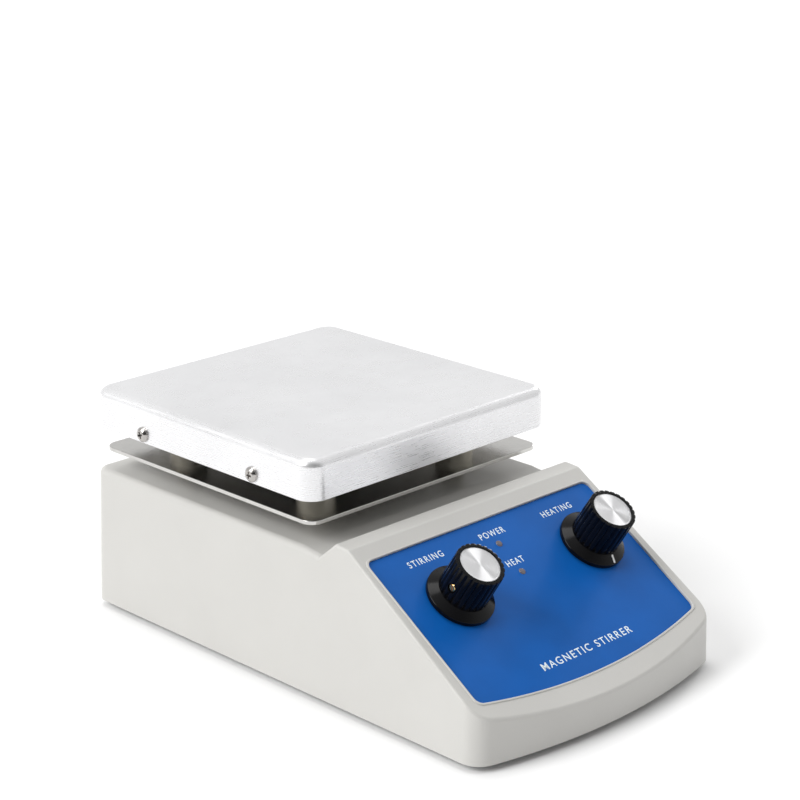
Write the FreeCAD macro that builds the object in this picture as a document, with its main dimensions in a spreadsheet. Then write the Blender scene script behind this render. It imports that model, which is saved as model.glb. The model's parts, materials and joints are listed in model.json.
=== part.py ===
"""Magnetic stirrer with a heated plate, in millimetres.

+Z is up, the control slope faces -Y, and the origin is on the table under the middle of the case.
"""
import FreeCAD, Part
import os
import re
import Sketcher
from FreeCAD import Placement, Rotation, Vector

# ---------------------------------------------------------------- driving dimensions

SIZES = {
    # case
    "case_half_width": 61.4,
    "deck_half_width": 58.9,
    "case_rim": 2.5,
    "front_limit": -110.0,
    "rear_wall": 98.6,
    "bow_depth": 8.8,
    "deck_top": 55.1,
    "deck_front": -16.9,
    "groove_line": -25.8,
    "groove_top": 54.0,
    "ridge_back": -33.2,
    "ridge_back_top": 60.45,
    "slope_start": -39.5,
    "slope_top": 60.0,
    "slope_angle": 33.15,
    "wall": 3.0,
    "front_corner": 8.0,
    "rear_corner": 5.0,
    "rim_round": 2.5,
    "base_thick": 1.5,
    "base_gap": 0.3,
    "boss_radius": 4.0,
    "rear_boss_across": 54.0,
    "rear_boss_along": 91.0,
    "front_boss_across": 53.0,
    "front_boss_along": -91.0,
    "vent_length": 30.0,
    "vent_width": 3.0,
    "vent_pitch": 10.0,
    "vent_front": 11.9,
    # plate stack
    "plate_centre": 36.9,
    "plate_side": 120.0,
    "plate_bottom": 72.1,
    "plate_top": 87.2,
    "plate_skin": 5.0,
    "plate_corner": 7.0,
    "plate_edge": 3.0,
    "skirt_wall": 3.0,
    "pan_sheet": 1.2,
    "pan_depth": 7.0,
    "side_screw_height": 75.5,
    "side_head_height": 1.7,
    "side_screw_pitch": 60.0,
    "shield_side": 115.0,
    "shield_bottom": 62.7,
    "shield_sheet": 1.5,
    "shield_corner": 5.0,
    "bolt_spacing": 70.0,
    "bolt_radius": 2.5,
    "bolt_hole": 2.7,
    "standoff_radius": 7.0,
    "spacer_radius": 4.0,
    "heater_radius": 50.0,
    # motor and rotor
    "motor_radius": 18.5,
    "motor_foot": 9.0,
    "motor_head": 37.0,
    "spindle_radius": 2.5,
    "running_gap": 0.04,
    "bearing_radius": 6.0,
    "bearing_height": 4.0,
    "carrier_radius": 27.0,
    "magnet_radius": 10.0,
    "magnet_height": 5.0,
    "magnet_throw": 16.0,
    "bracket_sheet": 2.0,
    "post_across": 34.0,
    "post_along": 9.0,
    "motor_screw_across": 11.5,
    "carrier_face": 48.0,
    # control panel
    "panel_half_width": 55.7,
    "panel_start": 6.6,
    "panel_end": 68.6,
    "panel_bow": 6.6,
    "panel_corner": 3.0,
    "panel_thick": 0.7,
    "panel_recess": 1.2,
    "stirring_across": -31.7,
    "stirring_down": 31.0,
    "heating_across": 36.9,
    "heating_down": 30.0,
    "lamp_across": 0.4,
    "power_lamp_down": 17.4,
    "heat_lamp_down": 30.5,
    "lamp_radius": 1.3,
    "lamp_clearance": 0.05,
    # knobs and potentiometers
    "knob_lift": 0.3,
    "skirt_radius": 12.5,
    "skirt_rim": 1.6,
    "skirt_height": 3.6,
    "grip_foot_radius": 9.1,
    "grip_top_radius": 8.9,
    "knob_height": 17.8,
    "cap_radius": 7.5,
    "cap_thick": 0.8,
    "cap_sink": 0.3,
    "flute_radius": 0.75,
    "flute_count": 24,
    "hub_recess_radius": 6.6,
    "hub_recess": 4.4,
    "hub_bore_end": 15.0,
    "set_screw_height": 8.7,
    "set_screw_length": 5.6,
    "set_slot_depth": 0.8,
    "pointer_width": 0.9,
    "pointer_swing": 25.0,
    "control_shaft_radius": 3.0,
    "bushing_top": 3.2,
    "washer_radius": 5.8,
    "washer_thick": 0.6,
    "bushing_radius": 3.5,
    "pot_radius": 8.2,
    "pot_depth": 8.5,
    # rear wall fittings
    "fitting_height": 27.0,
    "inlet_across": -30.0,
    "inlet_screw_pitch": 40.0,
    "inlet_flange": 2.5,
    "inlet_width": 28.0,
    "inlet_height": 20.5,
    "socket_width": 24.2,
    "socket_height": 16.4,
    "socket_depth": 15.5,
    "switch_across": 8.0,
    "switch_width": 12.8,
    "switch_height": 19.0,
    "switch_pivot": -1.5,
    "switch_tilt": 11.0,
    "fuse_across": 38.0,
    "fuse_body_radius": 6.0,
    "fuse_bore": 3.9,
    "fuse_cap_end": 110.0,
    # circuit board
    "board_width": 80.0,
    "board_front": -80.0,
    "board_rear": -10.0,
    "board_under": 11.0,
    "board_thick": 1.6,
    "board_hole_across": 36.0,
    "board_hole_rear": -16.0,
    "board_hole_front": -74.0,
    # fasteners and feet
    "screw_radius": 1.5,
    "thread_radius": 1.4,
    "screw_head_radius": 2.8,
    "foot_radius": 7.0,
    "foot_across": 46.0,
    "rear_foot_along": 78.0,
    "front_foot_along": -80.0,
    "foot_pocket_radius": 3.2,
    "foot_pocket": 1.8,
}

doc = FreeCAD.newDocument("magnetic_stirrer")
sheet = doc.addObject("Spreadsheet::Sheet", "Sizes")
for row, (alias, number) in enumerate(SIZES.items(), 1):
    sheet.set(f"A{row}", alias)
    sheet.set(f"B{row}", str(number))
    sheet.setAlias(f"B{row}", alias)
doc.recompute()

# ---------------------------------------------------------------- helpers


def formula(text):
    """A formula in sheet words, as other objects must write it."""
    return re.sub(r"[A-Za-z_]\w*", lambda w: "Sizes." + w[0] if w[0] in SIZES else w[0], str(text))


def measure(text):
    """The value of a formula in sheet words."""
    value = sheet.evalExpression(str(text))
    return float(getattr(value, "Value", value))


def bind(thing, **formulas):
    """Tie properties of an object to formulas of the sheet."""
    for prop, text in formulas.items():
        thing.setExpression(prop, formula(text))


def at(across=0, along=0, up=0, turn=Rotation()):
    """A placement whose three offsets are formulas."""
    return Placement(Vector(measure(across), measure(along), measure(up)), turn)


POINTS_REAR = Rotation(Vector(1, 0, 0), -90)    # local +Z becomes +Y
POINTS_RIGHT = Rotation(Vector(0, 1, 0), 90)    # local +Z becomes +X
POINTS_LEFT = Rotation(Vector(0, 1, 0), -90)    # local +Z becomes -X
POINTS_DOWN = Rotation(Vector(1, 0, 0), 180)    # local +Z becomes -Z
SLOPE = at(0, "slope_start", "slope_top", Rotation(Vector(1, 0, 0), measure("slope_angle")))
PLATE = at(0, "plate_centre")


def on_slope(across, down, out=0, turn=0):
    """A placement on the control slope: across it, down it and out of its surface."""
    spin = Rotation(Vector(0, 0, 1), turn)
    return SLOPE * Placement(Vector(measure(across), -measure(down), measure(out)), spin)


def new(kind, label, place=None):
    """A new object with its label and placement."""
    thing = doc.addObject(kind, label)
    thing.Label = label
    if place is not None:
        thing.Placement = place
    return thing


def new_sketch(body, role):
    """A sketch on one of the body's own origin planes."""
    sketch = body.newObject("Sketcher::SketchObject", body.Label + "_sketch")
    plane = next(feature for feature in body.Origin.OriginFeatures if feature.Role == role)
    sketch.AttachmentSupport = [(plane, "")]
    sketch.MapMode = "FlatFace"
    return sketch


def pin_point(sketch, element, end, across, up):
    """Hold one point of a sketch at two formulas from the sketch's origin."""
    for kind, text, axis in (("DistanceX", across, -2), ("DistanceY", up, -1)):
        value = measure(text)
        if abs(value) < 1e-9:
            sketch.addConstraint(Sketcher.Constraint("PointOnObject", element, end, axis))
            continue
        index = sketch.addConstraint(Sketcher.Constraint(kind, -1, 1, element, end, value))
        sketch.setExpression(f"Constraints[{index}]", formula(text))


def draw_outline(sketch, corners):
    """A closed straight-sided outline through corners given as pairs of formulas."""
    points = [Vector(measure(across), measure(up), 0) for across, up in corners]
    first = sketch.GeometryCount
    for index, point in enumerate(points):
        sketch.addGeometry(Part.LineSegment(point, points[(index + 1) % len(points)]))
    for index, (across, up) in enumerate(corners):
        following = first + (index + 1) % len(points)
        sketch.addConstraint(Sketcher.Constraint("Coincident", first + index, 2, following, 1))
        pin_point(sketch, first + index, 1, across, up)


def draw_circle(sketch, radius, across=0, up=0):
    """A circle whose radius and centre are formulas."""
    centre = Vector(measure(across), measure(up), 0)
    element = sketch.addGeometry(Part.Circle(centre, Vector(0, 0, 1), measure(radius)))
    index = sketch.addConstraint(Sketcher.Constraint("Radius", element, measure(radius)))
    sketch.setExpression(f"Constraints[{index}]", formula(radius))
    pin_point(sketch, element, 3, across, up)


def rectangle(width, depth):
    """The corners of a rectangle about the sketch's origin."""
    half, deep = f"({width}) / 2", f"({depth}) / 2"
    return [(f"-{half}", f"-{deep}"), (half, f"-{deep}"), (half, deep), (f"-{half}", deep)]


def pad(body, sketch, length, symmetric=False):
    """Pad a sketch by a length, or by half of it each way."""
    feature = body.newObject("PartDesign::Pad", body.Label + "_pad")
    feature.Profile = sketch
    if symmetric:
        feature.SideType = "Symmetric"
    bind(feature, Length=length)
    sketch.Visibility = False
    doc.recompute()
    return feature


def turned(label, profile, place=None):
    """A piece turned on a lathe: the profile's corners are (radius, height)."""
    body = new("PartDesign::Body", label, place)
    sketch = new_sketch(body, "XZ_Plane")
    draw_outline(sketch, profile)
    feature = body.newObject("PartDesign::Revolution", label + "_turn")
    feature.Profile = sketch
    feature.ReferenceAxis = (sketch, ["V_Axis"])
    feature.Angle = 360
    return body


def upright_edges(shape):
    """The names of the straight edges along local Z."""
    names = []
    for index, edge in enumerate(shape.Edges, 1):
        run = edge.Vertexes[-1].Point - edge.Vertexes[0].Point
        if isinstance(edge.Curve, Part.Line) and abs(abs(run.z) - run.Length) < 1e-6:
            names.append(f"Edge{index}")
    return names


def slab(label, width, depth, thick, place=None, corner=None, holes=()):
    """A padded rectangle with optional rounded corners and round holes (radius, across, along)."""
    body = new("PartDesign::Body", label, place)
    sketch = new_sketch(body, "XY_Plane")
    draw_outline(sketch, rectangle(width, depth))
    for radius, across, along in holes:
        draw_circle(sketch, radius, across, along)
    feature = pad(body, sketch, thick)
    if corner:
        fillet = body.newObject("PartDesign::Fillet", label + "_corners")
        fillet.Base = (feature, upright_edges(feature.Shape))
        bind(fillet, Radius=corner)
    return body


def sheet_bend(label, profile, length, place=None):
    """A bent sheet: the profile's corners are (across, up) and it runs along Y."""
    body = new("PartDesign::Body", label, place)
    sketch = new_sketch(body, "XZ_Plane")
    draw_outline(sketch, profile)
    pad(body, sketch, length, symmetric=True)
    return body


def rod(label, radius, height, place=None):
    cylinder = new("Part::Cylinder", label, place)
    bind(cylinder, Radius=radius, Height=height)
    return cylinder


def block(label, width, depth, height, place=None):
    """A box that stands on its placement's point, centred across and along."""
    box = new("Part::Box", label)
    bind(box, Length=width, Width=depth, Height=height)
    box.Placement = (place or Placement()) * at(f"-({width}) / 2", f"-({depth}) / 2")
    return box


def cut(label, base, tools):
    """Take one or more tools out of a base."""
    result = new("Part::Cut", label)
    result.Base = base
    result.Tool = tools[0] if len(tools) == 1 else join(label + "_tools", tools)
    return result


def join(label, pieces):
    result = new("Part::MultiFuse", label)
    result.Shapes = pieces
    return result


def shared(label, pieces):
    """What several forms have in common."""
    result = new("Part::MultiCommon", label)
    result.Shapes = pieces
    return result


def group(label, maker, places):
    """Identical loose pieces, each a separate solid, under one name."""
    result = new("Part::Compound", label)
    result.Links = [maker(f"{label}_{index}", place) for index, place in enumerate(places, 1)]
    return result


def hexagon(label, across_flats, height, bore, place):
    """A hexagonal nut."""
    prism = new("Part::Prism", label + "_hex", place)
    prism.Polygon = 6
    bind(prism, Circumradius=f"({across_flats}) / sqrt(3)", Height=height)
    return cut(label, prism, [rod(label + "_bore", bore, height, place)])


def pan_screw(label, head_radius, head_height, shank_radius, length, place):
    """A screw whose head sits above its placement's point and whose shank goes down."""
    dome = f"({head_radius}) * 0.6"
    profile = [(0, f"-({length})"), (shank_radius, f"-({length})"), (shank_radius, 0), (head_radius, 0),
               (head_radius, f"({head_height}) * 0.5"), (dome, head_height), (0, head_height)]
    return turned(label, profile, place)


# ---------------------------------------------------------------- case


def case_form(label, inset):
    """The outer form of the case, taken in by an inset on every side but the bottom."""
    slope_fall = f"(({inset}) / cos(slope_angle))"
    ceiling = f"deck_top - ({inset})"
    if measure(inset):
        meeting = f"slope_start - (slope_top - {slope_fall} - ({ceiling})) / tan(slope_angle)"
        roof = [(meeting, ceiling)]
    else:
        roof = [("deck_front", "deck_top"), ("groove_line", "groove_top"),
                ("ridge_back", "ridge_back_top"), ("slope_start", "slope_top")]
    front = "front_limit - 1"
    low = f"slope_top - {slope_fall} - (slope_start - ({front})) * tan(slope_angle)"
    rear = f"rear_wall - ({inset})"
    length_body = new("PartDesign::Body", label + "_side_view")
    sketch = new_sketch(length_body, "YZ_Plane")
    draw_outline(sketch, [(front, "case_rim"), (rear, "case_rim"), (rear, ceiling), *roof, (front, low)])
    pad(length_body, sketch, "2 * case_half_width + 10", symmetric=True)

    draft = "(case_half_width - deck_half_width) / (deck_top - case_rim)"
    foot = f"case_half_width - ({inset})"
    height = "slope_top + 5"
    head = f"{foot} - ({height} - case_rim) * {draft}"
    width_body = new("PartDesign::Body", label + "_front_view")
    sketch = new_sketch(width_body, "XZ_Plane")
    draw_outline(sketch, [(f"-({foot})", "case_rim"), (foot, "case_rim"),
                          (head, height), (f"-({head})", height)])
    pad(width_body, sketch, "3 * rear_wall", symmetric=True)

    bow = "(case_half_width ^ 2 + bow_depth ^ 2) / (2 * bow_depth)"
    bowed = rod(label + "_bow", f"{bow} - ({inset})", height, at(0, f"front_limit + {bow}"))
    return shared(label, [length_body, width_body, bowed])


def edges_where(shape, test, radius):
    """Fillet entries for the edges whose middle point and direction pass a test."""
    chosen = []
    for index, edge in enumerate(shape.Edges, 1):
        parameter = (edge.FirstParameter + edge.LastParameter) / 2
        if test(edge.valueAt(parameter), edge.tangentAt(parameter)):
            chosen.append((index, measure(radius), measure(radius)))
    return chosen


def rounded(label, base, rounds):
    """Round the edges of a base that pass each round's test, with its radius."""
    doc.recompute()
    result = new("Part::Fillet", label)
    result.Base = base
    result.Edges = [entry for test, radius in rounds for entry in edges_where(base.Shape, test, radius)]
    doc.recompute()
    return result


def along_case(middle, along):
    """Top edges of the case, apart from the lines that cross the deck, ridge and slope."""
    crosses = abs(along.x) > 0.9 and abs(middle.y) < 95
    return middle.z > 10 and abs(along.z) < 0.9 and not crosses


def is_rear_upright(middle, along):
    return abs(along.z) > 0.9 and middle.y > 0


def is_front_upright(middle, along):
    return abs(along.z) > 0.9 and middle.y < 0


BOLTS = [at(f"{side} * bolt_spacing / 2", f"plate_centre + {row} * bolt_spacing / 2")
         for side in (-1, 1) for row in (-1, 1)]
POST_SPOTS = [(f"{side} * post_across", f"{row} * post_along") for side in (-1, 1) for row in (-1, 1)]
POSTS = [at(across, f"plate_centre + {along}") for across, along in POST_SPOTS]
MOTOR_SCREWS = [at(f"{side} * motor_screw_across", "plate_centre") for side in (-1, 1)]
BASE_BOSSES = [at(f"{side} * {end}_boss_across", f"{end}_boss_along")
               for end in ("rear", "front") for side in (-1, 1)]
FEET = [at(f"{side} * foot_across", f"{end}_foot_along") for end in ("rear", "front") for side in (-1, 1)]
BOARD_SPOTS = [(f"{side} * board_hole_across", f"board_hole_{end}")
               for end in ("rear", "front") for side in (-1, 1)]
BOARD_POINTS = [at(across, along) for across, along in BOARD_SPOTS]
BRACKET_TOP = "motor_head + bracket_sheet"
PANEL_BACK = "-panel_recess"
PANEL_FACE = "panel_thick - panel_recess"


def up_by(places, height):
    """The same places at a height given by a formula."""
    return [place * at(0, 0, height) for place in places]


def rear_fitting(across, out=0):
    """A placement on the rear wall whose local +Z points out of it."""
    return at(across, "rear_wall", "fitting_height", POINTS_REAR) * at(0, 0, out)


def panel_form(label, grow, thick, place, holes=()):
    """The outline of the control panel: straight on three sides and bowed at its lower edge."""
    body = new("PartDesign::Body", label, place)
    sketch = new_sketch(body, "XY_Plane")
    half, top, low = f"panel_half_width + {grow}", f"{grow} - panel_start", f"-panel_end - {grow}"
    left, right = Vector(-measure(half), measure(low), 0), Vector(measure(half), measure(low), 0)
    upper_right, upper_left = Vector(right.x, measure(top), 0), Vector(left.x, measure(top), 0)
    lowest = Vector(0, measure(f"{low} - panel_bow"), 0)
    sketch.addGeometry(Part.LineSegment(right, upper_right))
    sketch.addGeometry(Part.LineSegment(upper_right, upper_left))
    sketch.addGeometry(Part.LineSegment(upper_left, left))
    bow = sketch.addGeometry(Part.Arc(left, lowest, right))
    pin_point(sketch, 0, 1, half, low)
    pin_point(sketch, 1, 1, half, top)
    pin_point(sketch, 2, 1, f"-({half})", top)
    for element, following in ((0, 1), (1, 2)):
        sketch.addConstraint(Sketcher.Constraint("Coincident", element, 2, following, 1))
    sketch.addConstraint(Sketcher.Constraint("Coincident", 2, 2, bow, 1))
    sketch.addConstraint(Sketcher.Constraint("Coincident", bow, 2, 0, 1))
    pin_point(sketch, 2, 2, f"-({half})", low)
    radius = f"(({half}) ^ 2 + panel_bow ^ 2) / (2 * panel_bow)"
    index = sketch.addConstraint(Sketcher.Constraint("Radius", bow, measure(radius)))
    sketch.setExpression(f"Constraints[{index}]", formula(radius))
    for hole_radius, across, down in holes:
        draw_circle(sketch, hole_radius, across, f"-({down})")
    feature = pad(body, sketch, thick)
    fillet = body.newObject("PartDesign::Fillet", label + "_corners")
    fillet.Base = (feature, upright_edges(feature.Shape))
    bind(fillet, Radius="panel_corner")
    return body


def make_case():
    outer = rounded("case_outside_corners", case_form("case_outside", 0),
                    [(is_rear_upright, "rear_corner"), (is_front_upright, "front_corner")])
    outer = rounded("case_outside_round", outer, [(along_case, "rim_round")])
    shell = cut("case_hollow", outer, [case_form("case_inside", "wall")])
    bosses = [rod("case_boss", "boss_radius", "slope_top", place)
              for place in up_by(POSTS, BRACKET_TOP) + up_by(BASE_BOSSES, "case_rim + base_thick")]
    inner_bosses = shared("case_bosses", [case_form("case_boss_limit", 1), join("case_boss_rods", bosses)])
    body = join("case_body", [shell, inner_bosses])
    tools = [panel_form("case_panel_recess", 0.1, 5, on_slope(0, 0, PANEL_BACK))]
    for across, down in (("stirring_across", "stirring_down"), ("heating_across", "heating_down")):
        tools.append(rod("case_pot_hole", "bushing_radius", 12, on_slope(across, down, -8)))
    for down in ("power_lamp_down", "heat_lamp_down"):
        place = on_slope("lamp_across", down, -8)
        tools.append(rod("case_lamp_hole", "lamp_radius + lamp_clearance", 12, place))
    tools += [rod("case_bolt_hole", "bolt_hole", 10, place) for place in up_by(BOLTS, "deck_top - 6")]
    tools += [rod("case_post_hole", "thread_radius", 11, place)
              for place in up_by(POSTS, f"{BRACKET_TOP} - 1")]
    tools += [rod("case_boss_hole", "thread_radius", 13, place) for place in up_by(BASE_BOSSES, "case_rim")]
    tools.append(block("case_inlet_window", "inlet_width", "inlet_height", 12,
                       rear_fitting("inlet_across", -6)))
    for side in (-1, 1):
        place = rear_fitting(f"inlet_across + {side} * inlet_screw_pitch / 2", -6)
        tools.append(rod("case_inlet_screw_hole", "screw_radius", 12, place))
    tools.append(block("case_switch_window", "switch_width", "switch_height", 12,
                       rear_fitting("switch_across", -6)))
    tools.append(rod("case_fuse_window", "fuse_body_radius", 12, rear_fitting("fuse_across", -6)))
    return cut("case_shell", body, tools)


def make_base():
    slab_zone = block("base_zone", 200, 300, "base_thick", at(0, 0, "case_rim"))
    sheet_form = shared("base_sheet", [case_form("base_outline", "wall + base_gap"), slab_zone])
    tools = [rod("base_screw_hole", "screw_radius", 4, place)
             for place in up_by(BASE_BOSSES, "case_rim - 1")]
    tools += [rod("base_foot_hole", "screw_radius", 4, place)
              for place in up_by(FEET, "case_rim - 1")]
    for row in range(6):
        place = at(0, f"vent_front + {row} * vent_pitch", "case_rim - 1")
        tools.append(block("base_vent", "vent_length", "vent_width", 4, place))
    base = cut("base_plate", sheet_form, tools)

    def base_screw(label, place):
        return pan_screw(label, "screw_head_radius", 1.6, "thread_radius", 10, place)

    def foot(label, place):
        profile = [("screw_radius", "foot_pocket"), ("foot_pocket_radius", "foot_pocket"),
                   ("foot_pocket_radius", 0), ("foot_radius - 0.6", 0), ("foot_radius", 0.6),
                   ("foot_radius", "case_rim"), ("screw_radius", "case_rim")]
        return turned(label, profile, place)

    def foot_screw(label, place):
        return pan_screw(label, "screw_head_radius", 1.4, "screw_radius", 5.5, place)

    below = Placement(Vector(), POINTS_DOWN)
    return [base,
            group("base_screws", base_screw, [place * below for place in up_by(BASE_BOSSES, "case_rim")]),
            group("rubber_feet", foot, FEET),
            group("foot_screws", foot_screw, [place * below for place in up_by(FEET, "foot_pocket")])]


# ---------------------------------------------------------------- control panel


def make_panel():
    holes = [("bushing_radius", "stirring_across", "stirring_down"),
             ("bushing_radius", "heating_across", "heating_down"),
             ("lamp_radius + lamp_clearance", "lamp_across", "power_lamp_down"),
             ("lamp_radius + lamp_clearance", "lamp_across", "heat_lamp_down")]
    return panel_form("control_panel", 0, "panel_thick", on_slope(0, 0, PANEL_BACK), holes)


def make_lamp(label, down):
    """A clear lamp with a domed tip at the slope's surface and a collar behind the case wall."""
    back = on_slope("lamp_across", down, "-wall - 1.2")
    barrel = rod(label + "_barrel", "lamp_radius", "wall + 1.2 - lamp_radius", back)
    collar = rod(label + "_collar", "lamp_radius + 0.45", 1.2, back)
    dome = new("Part::Sphere", label + "_dome", on_slope("lamp_across", down, "-lamp_radius"))
    bind(dome, Radius="lamp_radius")
    return join(label, [barrel, collar, dome])


def make_potentiometers():
    bore = "control_shaft_radius + running_gap"
    back = "-wall - pot_depth"

    def can(label, place):
        profile = [(bore, "-wall"), ("pot_radius", "-wall"), ("pot_radius", back), (0, back),
                   (0, f"{back} + 1.5"), (bore, f"{back} + 1.5")]
        return turned(label, profile, place)

    def bushing(label, place):
        profile = [(bore, "-wall"), ("bushing_radius", "-wall"),
                   ("bushing_radius", "bushing_top"), (bore, "bushing_top")]
        return turned(label, profile, place)

    def washer(label, place):
        top = f"{PANEL_FACE} + washer_thick"
        return turned(label, [("bushing_radius", PANEL_FACE), ("washer_radius", PANEL_FACE),
                              ("washer_radius", top), ("bushing_radius", top)], place)

    def nut(label, place):
        seat = place * at(0, 0, f"{PANEL_FACE} + washer_thick")
        return hexagon(label, 10, 2.2, "bushing_radius", seat)

    places = [on_slope("stirring_across", "stirring_down"), on_slope("heating_across", "heating_down")]
    return [group("pot_bodies", can, places), group("pot_bushings", bushing, places),
            group("pot_washers", washer, places), group("pot_nuts", nut, places)]


def make_knob(name, across, down, turn):
    """A fluted knob whose pointer is turned from up the slope, with its cap, set screw and shaft."""
    foot = f"{PANEL_FACE} + knob_lift"
    base = on_slope(across, down, foot, turn + measure("pointer_swing"))
    recess = "knob_height - cap_sink - cap_thick"
    profile = [("hub_recess_radius", 0), ("skirt_radius", 0), ("skirt_radius", "skirt_rim"),
               ("grip_foot_radius", "skirt_height"), ("grip_top_radius", "knob_height"),
               ("cap_radius", "knob_height"), ("cap_radius", recess), (0, recess), (0, "hub_bore_end"),
               ("control_shaft_radius", "hub_bore_end"), ("control_shaft_radius", "hub_recess"),
               ("hub_recess_radius", "hub_recess")]
    body = turned(f"{name}_knob_form", profile, base)
    sketch = new_sketch(body, "XY_Plane")
    sketch.AttachmentOffset = at(0, 0, "skirt_height + 0.2")
    draw_circle(sketch, "flute_radius", "grip_top_radius + 0.4")
    flute = body.newObject("PartDesign::Pocket", f"{name}_flute")
    flute.Profile = sketch
    flute.Reversed = True
    bind(flute, Length="knob_height")
    pattern = body.newObject("PartDesign::PolarPattern", f"{name}_flutes")
    pattern.Originals = [flute]
    pattern.Axis = (sketch, ["N_Axis"])
    pattern.Angle = 360
    bind(pattern, Occurrences="flute_count")
    body.Tip = pattern
    pointer = new("PartDesign::Body", f"{name}_pointer", on_slope(across, down, foot, turn))
    sketch = new_sketch(pointer, "YZ_Plane")
    draw_outline(sketch, [("skirt_radius - 0.3", "skirt_rim"), ("skirt_radius - 0.3", "skirt_rim + 0.27"),
                          ("grip_foot_radius + 0.4", "skirt_height - 0.25"),
                          ("grip_foot_radius + 0.4", "skirt_height - 0.7")])
    pad(pointer, sketch, "pointer_width", symmetric=True)
    screw_place = base * at("-control_shaft_radius", 0, "set_screw_height", POINTS_LEFT)
    tools = [rod(f"{name}_set_hole", "screw_radius", 9, screw_place), pointer]
    knob = cut(f"{name}_knob", body, tools)
    slot_place = screw_place * at(0, 0, "set_screw_length - set_slot_depth")
    screw = cut(f"{name}_set_screw",
                rod(f"{name}_set_screw_blank", "screw_radius", "set_screw_length", screw_place),
                [block(f"{name}_set_screw_slot", 0.5, 4, 1, slot_place)])
    shaft = rod(f"{name}_shaft", "control_shaft_radius", 24.3, on_slope(across, down, -9.8))
    cap = rod(f"{name}_knob_cap", "cap_radius", "cap_thick", base * at(0, 0, recess))
    return [knob, cap, screw, pointer, shaft]


# ---------------------------------------------------------------- heated plate


def make_plate():
    cavity = "plate_side - 2 * skirt_wall"
    outside = slab("hot_plate_blank", "plate_side", "plate_side", "plate_top - plate_bottom",
                   PLATE * at(0, 0, "plate_bottom"), "plate_corner")
    top = rounded("hot_plate_round", outside,
                  [(lambda middle, along: middle.z > measure("plate_top") - 0.1, "plate_edge")])
    hollow = slab("hot_plate_hollow", cavity, cavity, "plate_top - plate_bottom - plate_skin",
                  PLATE * at(0, 0, "plate_bottom"), "plate_corner - skirt_wall")
    rows = [at("-plate_side / 2 - 2", f"plate_centre + {side} * side_screw_pitch / 2",
               "side_screw_height", POINTS_RIGHT) for side in (-1, 1)]
    bores = [rod("hot_plate_screw_hole", "screw_radius", "plate_side + 4", row) for row in rows]
    plate = cut("hot_plate", top, [hollow, *bores])

    edge, depth, gauge = f"(({cavity}) / 2 - 0.1)", "pan_depth", "pan_sheet"
    profile = [(f"-{edge}", 0), (edge, 0), (edge, depth), (f"{edge} - {gauge}", depth),
               (f"{edge} - {gauge}", gauge), (f"{gauge} - {edge}", gauge),
               (f"{gauge} - {edge}", depth), (f"-{edge}", depth)]
    sheet_form = sheet_bend("plate_pan_sheet", profile, f"{cavity} - 8", PLATE * at(0, 0, "plate_bottom"))
    holes = [rod("plate_pan_screw_hole", "screw_radius", "plate_side + 4", row) for row in rows]
    holes += [rod("plate_pan_bolt_hole", "bolt_radius", 6, place)
              for place in up_by(BOLTS, "plate_bottom - 2")]
    pan = cut("plate_pan", sheet_form, holes)

    def side_screw(label, place):
        return pan_screw(label, "screw_head_radius", "side_head_height", "screw_radius", 6, place)

    screws = [at(f"{side} * plate_side / 2", f"plate_centre + {row} * side_screw_pitch / 2",
                 "side_screw_height", POINTS_RIGHT if side > 0 else POINTS_LEFT)
              for side in (-1, 1) for row in (-1, 1)]

    def bolt(label, place):
        return pan_screw(label, 5, 1.5, "bolt_radius", 26.8, place)

    def standoff(label, place):
        bottom, height = "shield_bottom + shield_sheet", "plate_bottom"
        return turned(label, [("bolt_hole", bottom), ("standoff_radius", bottom),
                              ("standoff_radius", height), ("bolt_hole", height)], place)

    def spacer(label, place):
        return turned(label, [("bolt_hole", "deck_top"), ("spacer_radius", "deck_top"),
                              ("spacer_radius", "shield_bottom"), ("bolt_hole", "shield_bottom")], place)

    def nut(label, place):
        return hexagon(label, 8, 4, "bolt_radius", place)

    holes = [("bolt_hole", f"{side} * bolt_spacing / 2", f"{row} * bolt_spacing / 2")
             for side in (-1, 1) for row in (-1, 1)]
    shield = slab("heat_shield", "shield_side", "shield_side", "shield_sheet",
                  PLATE * at(0, 0, "shield_bottom"), "shield_corner", holes)
    heater_floor = "plate_top - plate_skin - 3"
    heater = turned("heater_disc", [(12, heater_floor), ("heater_radius", heater_floor),
                                    ("heater_radius", "plate_top - plate_skin"),
                                    (12, "plate_top - plate_skin")], PLATE)
    insulation = slab("heater_insulation", 106, 104, 4.2, PLATE * at(0, 0, f"{heater_floor} - 4.2"), 4)
    return [plate, pan, shield, heater, insulation,
            group("plate_side_screws", side_screw, screws),
            group("plate_bolts", bolt, up_by(BOLTS, "plate_bottom + pan_sheet")),
            group("plate_standoffs", standoff, BOLTS),
            group("shield_spacers", spacer, BOLTS),
            group("bolt_nuts", nut, up_by(BOLTS, "deck_top - wall - 4"))]


# ---------------------------------------------------------------- motor and rotor


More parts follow.
